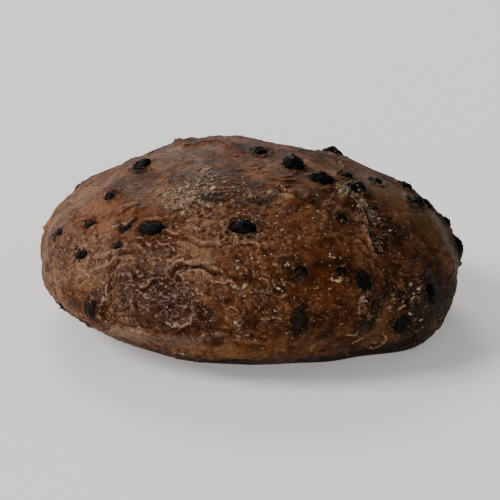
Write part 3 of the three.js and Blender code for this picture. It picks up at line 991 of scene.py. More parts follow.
@dataclass(frozen=True)
class LooseGrain:
    """Coarse flour, bran or crumbs: dry and dull, each grain a shade between two colours."""

    name: str
    dark: str
    light: str

    def material(self) -> bpy.types.Material:
        """Builds the grains' material, whose shade is an attribute of each grain."""
        material, tree = new_material(self.name)
        shade = add_node(tree, "ShaderNodeAttribute", {"attribute_name": "shade"}).outputs["Fac"]
        settings = {"stops": ((0.0, self.dark), (1.0, self.light))}
        colour = add_node(tree, "ShaderNodeValToRGB", settings, {"Fac": shade}).outputs["Color"]
        settings = {"Roughness": 0.85, "Specular IOR Level": 0.15}
        shader = add_node(tree, "ShaderNodeBsdfPrincipled", settings, {"Base Color": colour})
        add_node(tree, "ShaderNodeOutputMaterial", {}, {"Surface": shader.outputs["BSDF"]})
        return material


def points_of(mesh: bpy.types.Mesh) -> np.ndarray:
    """Returns a mesh's points in millimetres, one a row."""
    points = np.empty(len(mesh.vertices) * 3)
    mesh.vertices.foreach_get("co", points)
    return points.reshape(-1, 3) / MM


def normals_of(mesh: bpy.types.Mesh) -> np.ndarray:
    """Returns a mesh's smooth normals, one a row."""
    normals = np.empty(len(mesh.vertices) * 3, dtype=np.float32)
    mesh.vertex_normals.foreach_get("vector", normals)
    return normals.reshape(-1, 3).astype(float)


def set_points(mesh: bpy.types.Mesh, points: np.ndarray) -> None:
    """Moves a mesh's points to new places, given in millimetres."""
    mesh.vertices.foreach_set("co", (points * MM).ravel())
    mesh.update()


def attribute_of(mesh: bpy.types.Mesh, name: str) -> np.ndarray:
    """Returns the value of each point of a mesh."""
    values = np.empty(len(mesh.vertices), dtype=np.float32)
    mesh.attributes[name].data.foreach_get("value", values)
    return values


def set_attribute(mesh: bpy.types.Mesh, name: str, values: np.ndarray) -> None:
    """Writes a value for each point of a mesh."""
    attribute = mesh.attributes.new(name, "FLOAT", "POINT")
    attribute.data.foreach_set("value", values.astype(np.float32))


def shade_smooth(mesh: bpy.types.Mesh) -> None:
    """Shades every face of a mesh smoothly."""
    for face in mesh.polygons:
        face.use_smooth = True


def new_object(name: str, data: bpy.types.ID) -> bpy.types.Object:
    """Returns a new object in the scene, made of a mesh, a light or a camera."""
    made = bpy.data.objects.new(name, data)
    bpy.context.scene.collection.objects.link(made)
    return made


def deselect_all() -> None:
    """Leaves the scene in object mode with nothing selected."""
    if bpy.context.object and bpy.context.object.mode != "OBJECT":
        bpy.ops.object.mode_set(mode="OBJECT")
    bpy.ops.object.select_all(action="DESELECT")


def select_only(piece: bpy.types.Object) -> None:
    """Selects a piece alone and makes it the active one."""
    deselect_all()
    piece.select_set(True)
    bpy.context.view_layer.objects.active = piece


@dataclass(frozen=True)
class Drift:
    """How a look comes and goes over the whole crust, before its patches are laid on it.

    It swings about its least amount, and never falls below its floor.
    """

    least: float
    swing: float
    size_mm: float
    shift: float = 0.0
    floor: float = 0.0


DRIFTS = {
    Look.FLOUR: Drift(0.12, 0.15, 22, floor=-1),
    Look.MAUVE: Drift(0.06, 0.5, 16, 90),
    Look.GOLD: Drift(0.1, 0.7, 20, 190),
    Look.RUST: Drift(0.2, 0.8, 24, 290),
    Look.HAZE: Drift(0.0, 0.5, 18, 390),
}


@dataclass(frozen=True)
class BackPatches:
    """Patches at the back, which are drawn at random because nothing shows what is there."""

    count: int = 26
    turns: Range = (95, 265)
    rises: Range = (-8, 70)
    lengths: Range = (5, 14)
    widths: Range = (3, 8)
    amounts: Range = (0.3, 0.75)


@dataclass(frozen=True)
class BakeAndShade:
    """How much darker than the rest a place is painted, partly as baked and partly as painted shade. Tones
    run from -1 to 1.
    """

    # Painted shade: darker towards the right flank, which turns away from the light.
    right: float = 0.35
    # Darker at the foot, partly baked and partly painted shade near the base.
    foot: float = 0.6
    # More painted shade at the foot on the right.
    foot_shade_at_right: float = 0.5
    crown: float = 0.3
    # A dark ring round each raisin: painted shade in the gap, and juice.
    raisin_shade_and_juice: float = 0.9
    drift: float = 0.5
    drift_mm: float = 34


@dataclass(frozen=True)
class ShortFolds:
    """Short folds that are drawn at random all over the loaf, sparser on the front.

    Climb and bend are the usual tilt and bend of one, in degrees, and backwards is the share of them that
    break off at their upper side. On the left outline they are low and dull, so that it stays smooth.
    """

    count: int = 90
    rises: Range = (-14, 62)
    halves: Range = (3, 9)
    climb: float = 1.6
    bend: float = 1.8
    heights: Range = (0.35, 0.95)
    slopes: Range = (1.4, 2.6)
    pales: Range = (0.3, 0.8)
    kept_on_front: float = 0.5
    backwards: float = 0.4
    outline_turns: Range = (-130, -60)
    outline_height: float = 0.35
    outline_pale: float = 0.2


@dataclass(frozen=True)
class Bumps:
    """One kind of bump on the skin: its height, and how far apart such bumps are, in millimetres."""

    height: float
    apart: float


@dataclass(frozen=True)
class Skin:
    """The skin's unevenness, and the shares of it that a place has by its looks and its height."""

    lumps: Bumps = Bumps(0.65, 21)
    small_lumps: Bumps = Bumps(0.3, 9)
    flakes: Bumps = Bumps(0.75, 17)
    small_flakes: Bumps = Bumps(0.4, 9)
    creases: Bumps = Bumps(0.3, 5.2)
    blisters: Bumps = Bumps(0.3, 3.4)
    grit: Bumps = Bumps(0.3, 1.9)
    pits: Bumps = Bumps(-0.8, 3.8)
    least: float = 0.3
    where_floured: float = 0.6
    where_mauve: float = 0.9
    lost_on_crown: float = 0.35
    lost_in_haze: float = 0.4


@dataclass(frozen=True)
class Socket:
    """How the crust closes round a raisin: an uneven lip, a hollow under it and a dark ring painted round it,
    which is painted shade in the gap where crust meets raisin, and juice.

    The ring's place and the hollow's reach are shares of the raisin's half size.
    """

    lip: float = 0.7
    lip_mm: float = 1.4
    unevenness: float = 1.2
    uneven_mm: float = 3.2
    hollow: float = 1.2
    hollow_reach: float = 0.78
    # The dark ring: painted shade in the gap where crust meets raisin, and juice.
    shade_and_juice: float = 0.6
    shade_and_juice_at: float = 0.95


@dataclass
class FoldedSkin:
    """What the folds do to the crust, as arrays with a row for each of its points.

    Base holds the crust's points, and places the same points moved, so that the folds wander. Ragged is how
    much higher or lower than meant a fold is there. Height is out of the crust and slide is along it. Rim,
    cleft and veil are shares: how much a point is a pale rim, partly a painted highlight on the lip, a dark
    cleft below one, painted shade under the lip, or the hazy skin behind one.
    """

    base: np.ndarray
    places: np.ndarray
    normals: np.ndarray
    ragged: np.ndarray

    def __post_init__(self) -> None:
        """Starts with nothing folded."""
        self.height, self.rim, self.cleft, self.veil = np.zeros((4, len(self.places)))
        self.slide = np.zeros_like(self.places)

    def add(self, fold: Fold, line: np.ndarray) -> None:
        """Adds a fold.

        Args:
            fold: The fold.
            line: Points along it.
        """
        reach = 4.2 * fold.slope + 3
        inside = (self.base > line.min(axis=0) - reach) & (self.base < line.max(axis=0) + reach)
        near = np.flatnonzero(inside.all(axis=1))
        if not len(near):
            return
        gap = self.places[near][:, None, :] - line[None, :, :]
        nearest = np.einsum("ijk,ijk->ij", gap, gap).argmin(axis=1)
        forward = unit(np.gradient(line, axis=0))[nearest]
        left = unit(np.cross(self.normals[near], forward))
        offset = gap[np.arange(len(near)), nearest]
        side = (offset * left).sum(axis=1)
        past = np.abs((offset * forward).sum(axis=1))
        # A fold starts and ends low, and stops short where its line stops.
        ends = nearest / (len(line) - 1)
        taper = smooth_step(0, 0.16, ends) * smooth_step(0, 0.16, 1 - ends) * hump(past, 0, 2.0)
        taper = taper * self.ragged[near]
        # The skin climbs to its crest from the left, bears a thin rim and drops into a groove at the right.
        crest = hump(side, 0, np.where(side > 0, 1.4 * fold.slope, 0.7 * fold.edge))
        rim = hump(side, 0.1, 0.7)
        groove = hump(side, -1.8 * fold.edge, 1.1 * fold.edge)
        self.height[near] += taper * (fold.height * (0.6 * crest + 0.2 * rim) - 0.8 * fold.groove * groove)
        self.slide[near] -= left * (taper * fold.lip * hump(side, 0, 1.5))[:, None]
        self.rim[near] += 0.5 * fold.pale * taper * hump(side, 0.2, 0.85)
        self.cleft[near] += 0.9 * min(fold.pale, 1) * taper * groove
        self.veil[near] += fold.veil * taper * hump(side, fold.slope, fold.slope)


@dataclass
class Crust:
    """The loaf's crust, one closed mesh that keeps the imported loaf's form and adds its relief.

    Cuts, flattening, lift and gathering say how finely, and how much closer on the side that shows, its
    points are spread. A fold counts for the relief that its material reads by the fold relief's share, and
    a point a relief depth above the crust about it, evened in rounds, is a full crest.
    """

    form: LoafForm
    raisins: list[PackedRaisin]
    finish: BakedCrust = field(default_factory=BakedCrust)
    bake_and_shade: BakeAndShade = field(default_factory=BakeAndShade)
    back: BackPatches = field(default_factory=BackPatches)
    short: ShortFolds = field(default_factory=ShortFolds)
    skin: Skin = field(default_factory=Skin)
    socket: Socket = field(default_factory=Socket)
    seed: int = 7
    cuts: int = 63
    flattening: float = 0.62
    lift: float = 0.35
    gathering: float = 0.22
    fold_relief: float = 0.4
    relief_depth: float = 0.45
    relief_rounds: int = 14

    def __post_init__(self) -> None:
        """Draws the noise that the whole crust shares."""
        self.noise = DoughNoise(self.seed)

    def build(self) -> bpy.types.Object:
        """Builds the crust and gives it its finish.

        Returns:
            The crust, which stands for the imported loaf.
        """
        piece = self._ball()
        mesh = piece.data
        towards = self._gathered(points_of(mesh))
        set_points(mesh, self.form.points(towards))
        base = points_of(mesh)
        normals = normals_of(mesh)
        looks = self._looks(base)
        folded = self._folded(base, normals)
        looks[Look.HAZE] = np.clip(looks[Look.HAZE] + folded.veil, 0, 1)
        around, shade_and_juice = self._round_raisins(base)
        height = folded.height + self._wrinkled(base, looks) + self._bulged(base) + around
        free = smooth_step(0.4, 5, base[:, 2])
        moved = base + normals * (free * height)[:, None] + folded.slide * free[:, None]
        moved[:, 2] = np.maximum(moved[:, 2], 0)
        set_points(mesh, moved)

        # From this relief the material paints highlights on crests and shade in hollows, also round the
        # raisins.
        even = free * (height - (1 - self.fold_relief) * folded.height)
        relief = 0.5 + 0.5 * self._relief_of(mesh, even) - 0.25 * shade_and_juice
        set_attribute(mesh, "relief", np.clip(relief, 0, 1))
        set_attribute(mesh, "rim", np.clip(folded.rim, 0, 1))
        set_attribute(mesh, "cleft", np.clip(folded.cleft, 0, 1))
        set_attribute(mesh, "tone", self._tone(base, towards, shade_and_juice))
        for look in Look:
            set_attribute(mesh, look.value, looks[look])
        shade_smooth(mesh)
        mesh.materials.append(self.finish.material())
        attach(piece, "root")
        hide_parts("loaf")
        log.info("%s: %d faces", piece.name, len(mesh.polygons))
        return piece

    def _ball(self) -> bpy.types.Object:
        """Returns a cube that is divided finely enough to become the crust."""
        deselect_all()
        bpy.ops.mesh.primitive_cube_add(size=2 * MM)
        piece = bpy.context.object
        piece.name = "loaf_crust"
        piece.data.name = "loaf_crust"
        bpy.ops.object.mode_set(mode="EDIT")
        bpy.ops.mesh.select_all(action="SELECT")
        bpy.ops.mesh.subdivide(number_cuts=self.cuts)
        bpy.ops.mesh.subdivide(number_cuts=1)
        bpy.ops.object.mode_set(mode="OBJECT")
        return piece

    def _gathered(self, points: np.ndarray) -> np.ndarray:
        """Turns a cube's points to unit directions, closer together at the front and on the crown."""
        towards = unit(np.tan(points / points.max() * math.pi / 4))
        towards[:, 2] = self.flattening * (towards[:, 2] + self.lift * (1 - towards[:, 2] ** 2))
        towards[:, 1] -= self.gathering * (1 - towards[:, 1] ** 2)
        return unit(towards)

    def _looks(self, base: np.ndarray) -> dict[Look, np.ndarray]:
        """Gives the crust its looks.

        Args:
            base: The crust's points.

        Returns:
            How much of each look every point has, from 0 to 1.
        """
        random = np.random.default_rng(self.seed)
        patches = {look: list(shown) for look, shown in PATCHES.items()}
        for _ in range(self.back.count):
            look = list(Look)[random.integers(len(Look))]
            place = (random.uniform(*self.back.turns), random.uniform(*self.back.rises))
            size = (random.uniform(*self.back.lengths), random.uniform(*self.back.widths))
            patches[look].append(Spot(*place, *size, random.uniform(*self.back.amounts)))
        turn, rise = self.form.place_of(self.noise.warped(base, 9, 3.5))
        front = hump(turn, 2, 46) * hump(rise, 12, 24)
        left = 1 - smooth_step(-70, 20, base[:, 0])
        leaning = {
            Look.FLOUR: 0.35 * front,
            # Mauve leans to the left, partly as painted sheen on the lit left flank.
            Look.MAUVE: 0.24 * left - 0.65 * smooth_step(26, 52, rise),
        }
        looks = {}
        for look in Look:
            amount = np.zeros(len(base))
            if look in DRIFTS:
                drift = DRIFTS[look]
                wandering = self.noise.fractal(base + drift.shift, drift.size_mm, 3)
                amount = drift.least + leaning.get(look, 0) + drift.swing * wandering
                amount = np.clip(amount, drift.floor, 1)
            for patch in patches[look]:
                amount += patch.added(turn, rise)
            looks[look] = np.clip(amount, 0, 1)
        return looks

    def _tone(self, base: np.ndarray, towards: np.ndarray, shade_and_juice: np.ndarray) -> np.ndarray:
        """Gives each point's tone, darker at the right, the foot, the crown and round the raisins.

        The right is painted shade, the foot is partly baked and partly painted shade, the ring round the
        raisins is painted shade and juice, and the listed spots add painted light and shade as well as bake.

        Args:
            base: The crust's points.
            towards: Their directions from the centre point.
            shade_and_juice: How far the painted shade and juice round the raisins darken each.

        Returns:
            A tone from -1 to 1 for each point.
        """
        bake_and_shade = self.bake_and_shade
        turn, rise = turn_and_rise(towards)
        share = base[:, 0] / self.form.half_width
        # Painted shade at the foot, with the bake, deepest at the right.
        foot = bake_and_shade.foot + bake_and_shade.foot_shade_at_right * smooth_step(0.3, 0.85, share)
        tone = bake_and_shade.drift * self.noise.fractal(base + 50, bake_and_shade.drift_mm, 3)
        # Painted shade, deeper towards the right flank, away from the light.
        tone -= bake_and_shade.right * np.clip(share, -0.7, 1)
        tone -= foot * (1 - smooth_step(-17, 4, rise))
        tone -= bake_and_shade.crown * smooth_step(50, 85, base[:, 2])
        # Painted shade and juice round the raisins.
        tone -= bake_and_shade.raisin_shade_and_juice * shade_and_juice
        # Spots painted lighter or darker, partly bake and partly light and shade.
        for shade in BAKE_AND_PAINTED_LIGHT:
            tone += shade.added(turn, rise)
        return np.clip(tone, -1, 1)

    def _folded(self, base: np.ndarray, normals: np.ndarray) -> FoldedSkin:
        """Raises the folds.

        Args:
            base: The crust's points.
            normals: The crust's normals.

        Returns:
            What the folds do to every point.
        """
        ragged = 1 + 0.55 * self.noise.at(base + 11, 5)
        folded = FoldedSkin(base, self.wander(base), normals, ragged)
        for fold in (*SHOWN_FOLDS, *self.short_folds()):
            folded.add(fold, self.line(fold))
        return folded

    def wander(self, points: np.ndarray) -> np.ndarray:
        """Returns the points, each moved a little, so that a fold drawn on them wanders."""
        return self.noise.warped(self.noise.warped(points, 8, 1.3), 3.2, 0.6)

    def line(self, fold: Fold) -> np.ndarray:
        """Returns closely spaced points along a fold's route on the plain crust, its corners rounded."""
        route = np.array(fold.route, dtype=float)
        knots = np.arange(len(route))
        steps = np.linspace(0, len(route) - 1, 16 * len(route))
        blur = np.hanning(15) / np.hanning(15).sum()
        drawn = []
        for values in route.T:
            padded = np.pad(np.interp(steps, knots, values), len(blur) // 2, mode="edge")
            drawn.append(np.convolve(padded, blur, mode="valid"))
        return self.form.points(direction(*drawn))

    def short_folds(self) -> list[Fold]:
        """Returns short folds all over the loaf, sparser on the front, where the shown ones lie."""
        random = np.random.default_rng(self.seed + 1)
        short = self.short
        folds = []
        while len(folds) < short.count:
            turn = random.uniform(-180, 180)
            rise = random.uniform(*short.rises)
            on_front = abs(turn) < 60 and rise < 34
            if on_front and random.random() < 1 - short.kept_on_front:
                continue
            half = random.uniform(*short.halves) / math.cos(math.radians(rise))
            climb = random.normal(0, short.climb)
            bend = random.normal(0, short.bend)
            route = short_route(turn, rise, half, climb, bend, random.random() < short.backwards)
            height = random.uniform(*short.heights) * (1 - 0.5 * max(rise, 0) / short.rises[1])
            slope = random.uniform(*short.slopes)
            pale = random.uniform(*short.pales)
            if short.outline_turns[0] < turn < short.outline_turns[1] and rise > 10:
                height *= short.outline_height
                pale *= short.outline_pale
            folds.append(Fold(route, height, slope, 0.9, 0.2, 0.5 * height, pale))
        return folds

    def _wrinkled(self, base: np.ndarray, looks: dict[Look, np.ndarray]) -> np.ndarray:
        """Gives the height of lumps, wrinkles and pits all over the skin.

        Args:
            base: The crust's points.
            looks: How much of each look every point has.

        Returns:
            The height of each point.
        """
        skin = self.skin
        noise = self.noise
        lumps = skin.lumps.height * noise.fractal(base, skin.lumps.apart, 2)
        lumps += skin.small_lumps.height * noise.fractal(base + 500, skin.small_lumps.apart, 2)
        level = base * np.array([1, 1, 2.0])
        wandering = noise.warped(noise.warped(level, 14, 4), 3.4, 0.8)
        flakes = self._flakes(wandering, skin.flakes, 3.4)
        flakes += self._flakes(wandering + 33, skin.small_flakes, 2.2)
        creases = skin.creases.height * noise.creases(wandering + 40, skin.creases.apart)
        raised = smooth_step(0.0, 0.6, noise.at(base + 70, skin.blisters.apart))
        blisters = skin.blisters.height * raised - 0.1
        grit = skin.grit.height * noise.at(base + 170, skin.grit.apart)
        pits = skin.pits.height * smooth_step(0.4, 0.75, noise.at(base + 130, skin.pits.apart))
        rough = skin.least + skin.where_floured * looks[Look.FLOUR] + skin.where_mauve * looks[Look.MAUVE]
        rough *= 1 - skin.lost_on_crown * smooth_step(60, 85, base[:, 2])
        rough *= 1 - skin.lost_in_haze * looks[Look.HAZE]
        return lumps + rough * (flakes + creases + blisters + grit + pits)

    def _flakes(self, points: np.ndarray, bumps: Bumps, steps: float) -> np.ndarray:
        """Gives the height of flaked skin, which climbs slowly and breaks off at a thin ragged edge.

        Args:
            points: The crust's points.
            bumps: The height of a flake, and how far apart the flaked places are.
            steps: How many flakes lie on the slope between two of them.

        Returns:
            A height for each point, about as often above 0 as below it.
        """
        climb = steps * self.noise.fractal(points, bumps.apart, 2)
        climb -= np.floor(climb)
        return bumps.height * (climb * (1 - smooth_step(0.84, 1.0, climb)) - 0.42)

    def _bulged(self, base: np.ndarray) -> np.ndarray:
        """Gives the height of the bulges at the crust's points."""
        height = np.zeros(len(base))
        for bulge in BULGES:
            place, level, up, out = self.form.axes_at(bulge.turn, bulge.rise)
            lean = math.radians(bulge.lean)
            along = math.cos(lean) * level + math.sin(lean) * up
            across = np.cross(out, along)
            away = base - place
            share = ((away @ along) / bulge.length * 2) ** 2 + ((away @ across) / bulge.width * 2) ** 2
            outward = np.abs(away @ out) < bulge.length
            height += np.where(outward, bulge.proud * np.clip(1.15 - share, 0, 1) ** 0.7, 0)
        return height

    def _round_raisins(self, base: np.ndarray) -> tuple[np.ndarray, np.ndarray]:
        """Shapes the crust round the raisins.

        Args:
            base: The crust's points.

        Returns:
            The height of each point, and how far the painted shade and juice round the raisins darken it.
        """
        socket = self.socket
        height = np.zeros(len(base))
        shade_and_juice = np.zeros(len(base))
        uneven = socket.unevenness * self.noise.at(base + 23, socket.uneven_mm)
        for raisin in self.raisins:
            away = base - raisin.middle
            near = np.flatnonzero((np.abs(away) < 2.2 * raisin.half_length + 3).all(axis=1))
            along = (away[near] @ raisin.along) / raisin.half_length
            across = (away[near] @ raisin.across) / raisin.half_width
            ring = np.hypot(along, across) + 0.1 * uneven[near]
            lip = socket.lip_mm / raisin.half_width
            height[near] += socket.lip * (1 + uneven[near]) * hump(ring, 1 + 0.4 * lip, lip)
            height[near] -= socket.hollow * np.exp(-((ring / socket.hollow_reach) ** 6))
            # A dark ring at the raisin's edge: painted shade in the gap, and juice.
            shade_and_juice[near] += socket.shade_and_juice * hump(ring, socket.shade_and_juice_at, 1.1 * lip)
        return height, np.clip(shade_and_juice, 0, 1)

    def _relief_of(self, mesh: bpy.types.Mesh, height: np.ndarray) -> np.ndarray:
        """Gives how far each point stands above the crust about it.

        Args:
            mesh: The crust, whose edges say which points are neighbours.
            height: The height of each point.

        Returns:
            A share from -1 to 1 for each point.
        """
        edges = np.empty(len(mesh.edges) * 2, dtype=np.int32)
        mesh.edges.foreach_get("vertices", edges)
        first, second = edges.reshape(-1, 2).T
        count = np.bincount(edges, minlength=len(height))
        about = height.copy()
        for _ in range(self.relief_rounds):
            total = np.bincount(first, about[second], len(height))
            total += np.bincount(second, about[first], len(height))
            about = 0.5 * about + 0.5 * total / count
        return np.clip((height - about) / self.relief_depth, -1, 1)


@dataclass(frozen=True)
class SmallFlakes:
    """Small flakes of torn skin that are drawn at random all over the loaf, in loose groups.

    The sines of their rises are drawn, so that they lie evenly on a ball. Climb and bend are the usual tilt
    and bend of one as shares of its half length, and halves are half lengths in degrees.
    """

    count: int = 490
    rise_sines: Range = (-0.3, 0.98)
    group_mm: float = 17
    kept: float = 0.45
    grouping: float = 1.2
    halves: Range = (0.9, 3.2)
    climb: float = 0.22
    bend: float = 0.25
    backwards: float = 0.35
    heights: Range = (0.1, 0.8)
    pales: Range = (0.2, 1.0)


@dataclass
class TornSkin:
    """Thin edges of torn skin along the folds, and small flakes of it all over the loaf, as one piece.

    An edge's section runs from under the crust on the skin's side, over the lip and back under the crust.
    Each of its points has a place across the edge, a height over the crust, a share of the lip's
    raggedness and a share of the rim's paleness. An edge shorter than the full length is narrower, and one
    on a fold higher than the tallest isn't higher still.
    """

    crust: Crust
    small: SmallFlakes = field(default_factory=SmallFlakes)
    step: float = 0.5
    seed: int = 12
    section: tuple[tuple[float, float, float, float], ...] = (
        (3.0, -0.5, 0, 0),
        (1.8, -0.02, 0.2, 0.05),
        (0.9, 0.19, 0.6, 0.5),
        (0.15, 0.32, 1, 1),
        (-0.35, 0.25, 1, 0.9),
        (-0.3, 0.0, 1, 0.2),
        (0.3, -0.35, 0.7, 0),
        (2.0, -0.9, 0, 0),
    )
    full_length: float = 14.0
    tallest: float = 1.6
    ray_start: float = 8.0

    def build(self, ground: bpy.types.Object) -> bpy.types.Object:
        """Builds the torn edges.

        Args:
            ground: The crust that they rise from, which also gives them its looks.

        Returns:
            The edges and flakes, joined.
        """
        tree = BVHTree.FromObject(ground, bpy.context.evaluated_depsgraph_get())
        folds = [*SHOWN_FOLDS, *self.crust.short_folds(), *self._flakes()]
        edges = [self._edge(fold) for fold in folds]
        faces = []
        start = 0
        for places, _ in edges:
            faces.extend(self._faces(start, len(places)))
            start += len(places)
        points, surface = self._on_ground(np.concatenate([places for places, _ in edges]), tree)
        mesh = bpy.data.meshes.new("torn_skin")
        mesh.from_pydata(points * MM, [], faces)
        self._take_looks(mesh, ground.data, surface, np.concatenate([rim for _, rim in edges]))
        shade_smooth(mesh)
        mesh.materials.append(ground.data.materials[0])
        piece = new_object("torn_skin", mesh)
        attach(piece, "root")
        log.info("%s: %d edges, %d faces", piece.name, len(folds), len(mesh.polygons))
        return piece

    def _faces(self, start: int, length: int) -> list[list[int]]:
        """Gives the faces of one edge, closed at both ends.

        Args:
            start: The number of its first point.
            length: How many points it has.

        Returns:
            The point numbers of each face.
        """
        count = len(self.section)
        ring = np.arange(count)
        faces = []
        for first in range(start, start + length - count, count):
            near = first + ring
            far = near + count
            faces.extend(np.stack([near, np.roll(near, -1), np.roll(far, -1), far], -1).tolist())
        faces.append((start + ring[::-1]).tolist())
        faces.append((start + length - count + ring).tolist())
        return faces

    def _flakes(self) -> list[Fold]:
        """Returns the short routes of small flakes, most of them level."""
        random = np.random.default_rng(self.seed)
        noise = DoughNoise(self.seed)
        small = self.small
        flakes = []
        while len(flakes) < small.count:
            turn = random.uniform(-180, 180)
            rise = math.degrees(math.asin(random.uniform(*small.rise_sines)))
            place = self.crust.form.points(direction(np.array([turn]), np.array([rise])))
            if random.random() > small.kept + small.grouping * noise.at(place, small.group_mm)[0]:
                continue
            half = random.uniform(*small.halves)
            climb = half * random.normal(0, small.climb)
            bend = half * random.normal(0, small.bend)
            wide = half / math.cos(math.radians(rise))
            route = short_route(turn, rise, wide, climb, bend, random.random() < small.backwards)
            height = random.uniform(*small.heights)
            flakes.append(Fold(route, height, 1.2, pale=random.uniform(*small.pales)))
        return flakes

    def _edge(self, fold: Fold) -> tuple[np.ndarray, np.ndarray]:
        """Lays out one edge.

        Args:
            fold: The fold that the edge follows.

        Returns:
            The edge's points, each with its height over the crust as a fourth number, section by section,
            and how pale each point is.
        """
        noise = self.crust.noise
        drawn, length = self._drawn(fold)
        normals = self.crust.form.normals(unit(drawn - np.array(self.crust.form.centre)))
        left = unit(np.cross(normals, unit(np.gradient(drawn, axis=0))))
        ends = np.linspace(0, 1, len(drawn))
        taper = smooth_step(0, 0.2, ends) * smooth_step(0, 0.2, 1 - ends)
        full_size = min(1.0, length / self.full_length)
        torn = taper * full_size * (noise.at(drawn + 211, 2.6) + 0.7 * noise.at(drawn + 307, 1.1))
        wide = (0.25 + 0.75 * taper) * (1 + 0.35 * noise.at(drawn + 401, 4)) * (0.45 + 0.55 * full_size)
        tall = taper * (0.55 + 0.5 * min(fold.height, self.tallest)) * (1 + 0.5 * noise.at(drawn + 503, 3))
        broken = taper * (0.7 + 0.5 * noise.at(drawn + 601, 4) + 0.5 * noise.at(drawn + 701, 1.6))
        across, over, ragged, paleness = np.array(self.section).T
        side = across * wide[:, None] - 0.5 * ragged * torn[:, None]
        height = np.where(over > 0, over * tall[:, None], over) - 0.12 * (1 - taper)[:, None]
        points = drawn[:, None] + left[:, None] * side[..., None]
        pale = fold.pale * paleness * broken[:, None]
        return np.concatenate([points, height[..., None]], axis=-1).reshape(-1, 4), pale.ravel()

    def _drawn(self, fold: Fold) -> tuple[np.ndarray, float]:
        """Follows a fold as it wanders over the crust.

        Args:
            fold: The fold.

        Returns:
            Evenly spaced points on it, and its length in millimetres.
        """
        line = self.crust.line(fold)
        drawn = line.copy()
        for _ in range(3):
            drawn = line - (self.crust.wander(drawn) - drawn)
        run = np.concatenate([[0], np.cumsum(np.linalg.norm(np.diff(drawn, axis=0), axis=1))])
        along = np.linspace(0, run[-1], max(5, int(run[-1] / self.step)))
        return np.stack([np.interp(along, run, values) for values in drawn.T], axis=-1), run[-1]

    def _on_ground(self, places: np.ndarray, tree: BVHTree) -> tuple[np.ndarray, np.ndarray]:
        """Sets points at their heights over the dressed crust.

        Args:
            places: Points near the plain crust, each with its height as a fourth number.
            tree: The dressed crust, to be hit by a ray from outside.

        Returns:
            The points in millimetres, and the crust's face under each.
        """
        towards = unit(places[:, :3] - np.array(self.crust.form.centre))
        normals = self.crust.form.normals(towards)
        points = self.crust.form.points(towards)
        faces = np.zeros(len(points), dtype=int)
        for i, (place, normal) in enumerate(zip(points, normals)):
            hit, _, face, _ = tree.ray_cast(Vector((place + self.ray_start * normal) * MM), Vector(-normal))
            if hit is not None:
                points[i] = np.array(hit) / MM
                faces[i] = face
        points += normals * places[:, 3:]
        points[:, 2] = np.maximum(points[:, 2], 0)
        return points, faces

    def _take_looks(
        self, mesh: bpy.types.Mesh, ground: bpy.types.Mesh, surface: np.ndarray, rim: np.ndarray
    ) -> None:
        """Gives the edges the looks of the crust under them, and their own pale rims.

        Args:
            mesh: The edges' mesh.
            ground: The crust's mesh.
            surface: The crust's face under each of the edges' points.
            rim: How pale each point is.
        """
        starts = np.empty(len(ground.polygons), dtype=np.int32)
        ground.polygons.foreach_get("loop_start", starts)
        corners = np.empty(len(ground.loops), dtype=np.int32)
        ground.loops.foreach_get("vertex_index", corners)
        nearest = corners[starts[surface]]
        for name in ("relief", "tone", *(look.value for look in Look)):
            set_attribute(mesh, name, attribute_of(ground, name)[nearest])
        set_attribute(mesh, "rim", np.clip(rim, 0, 1))
        set_attribute(mesh, "cleft", np.zeros(len(rim)))


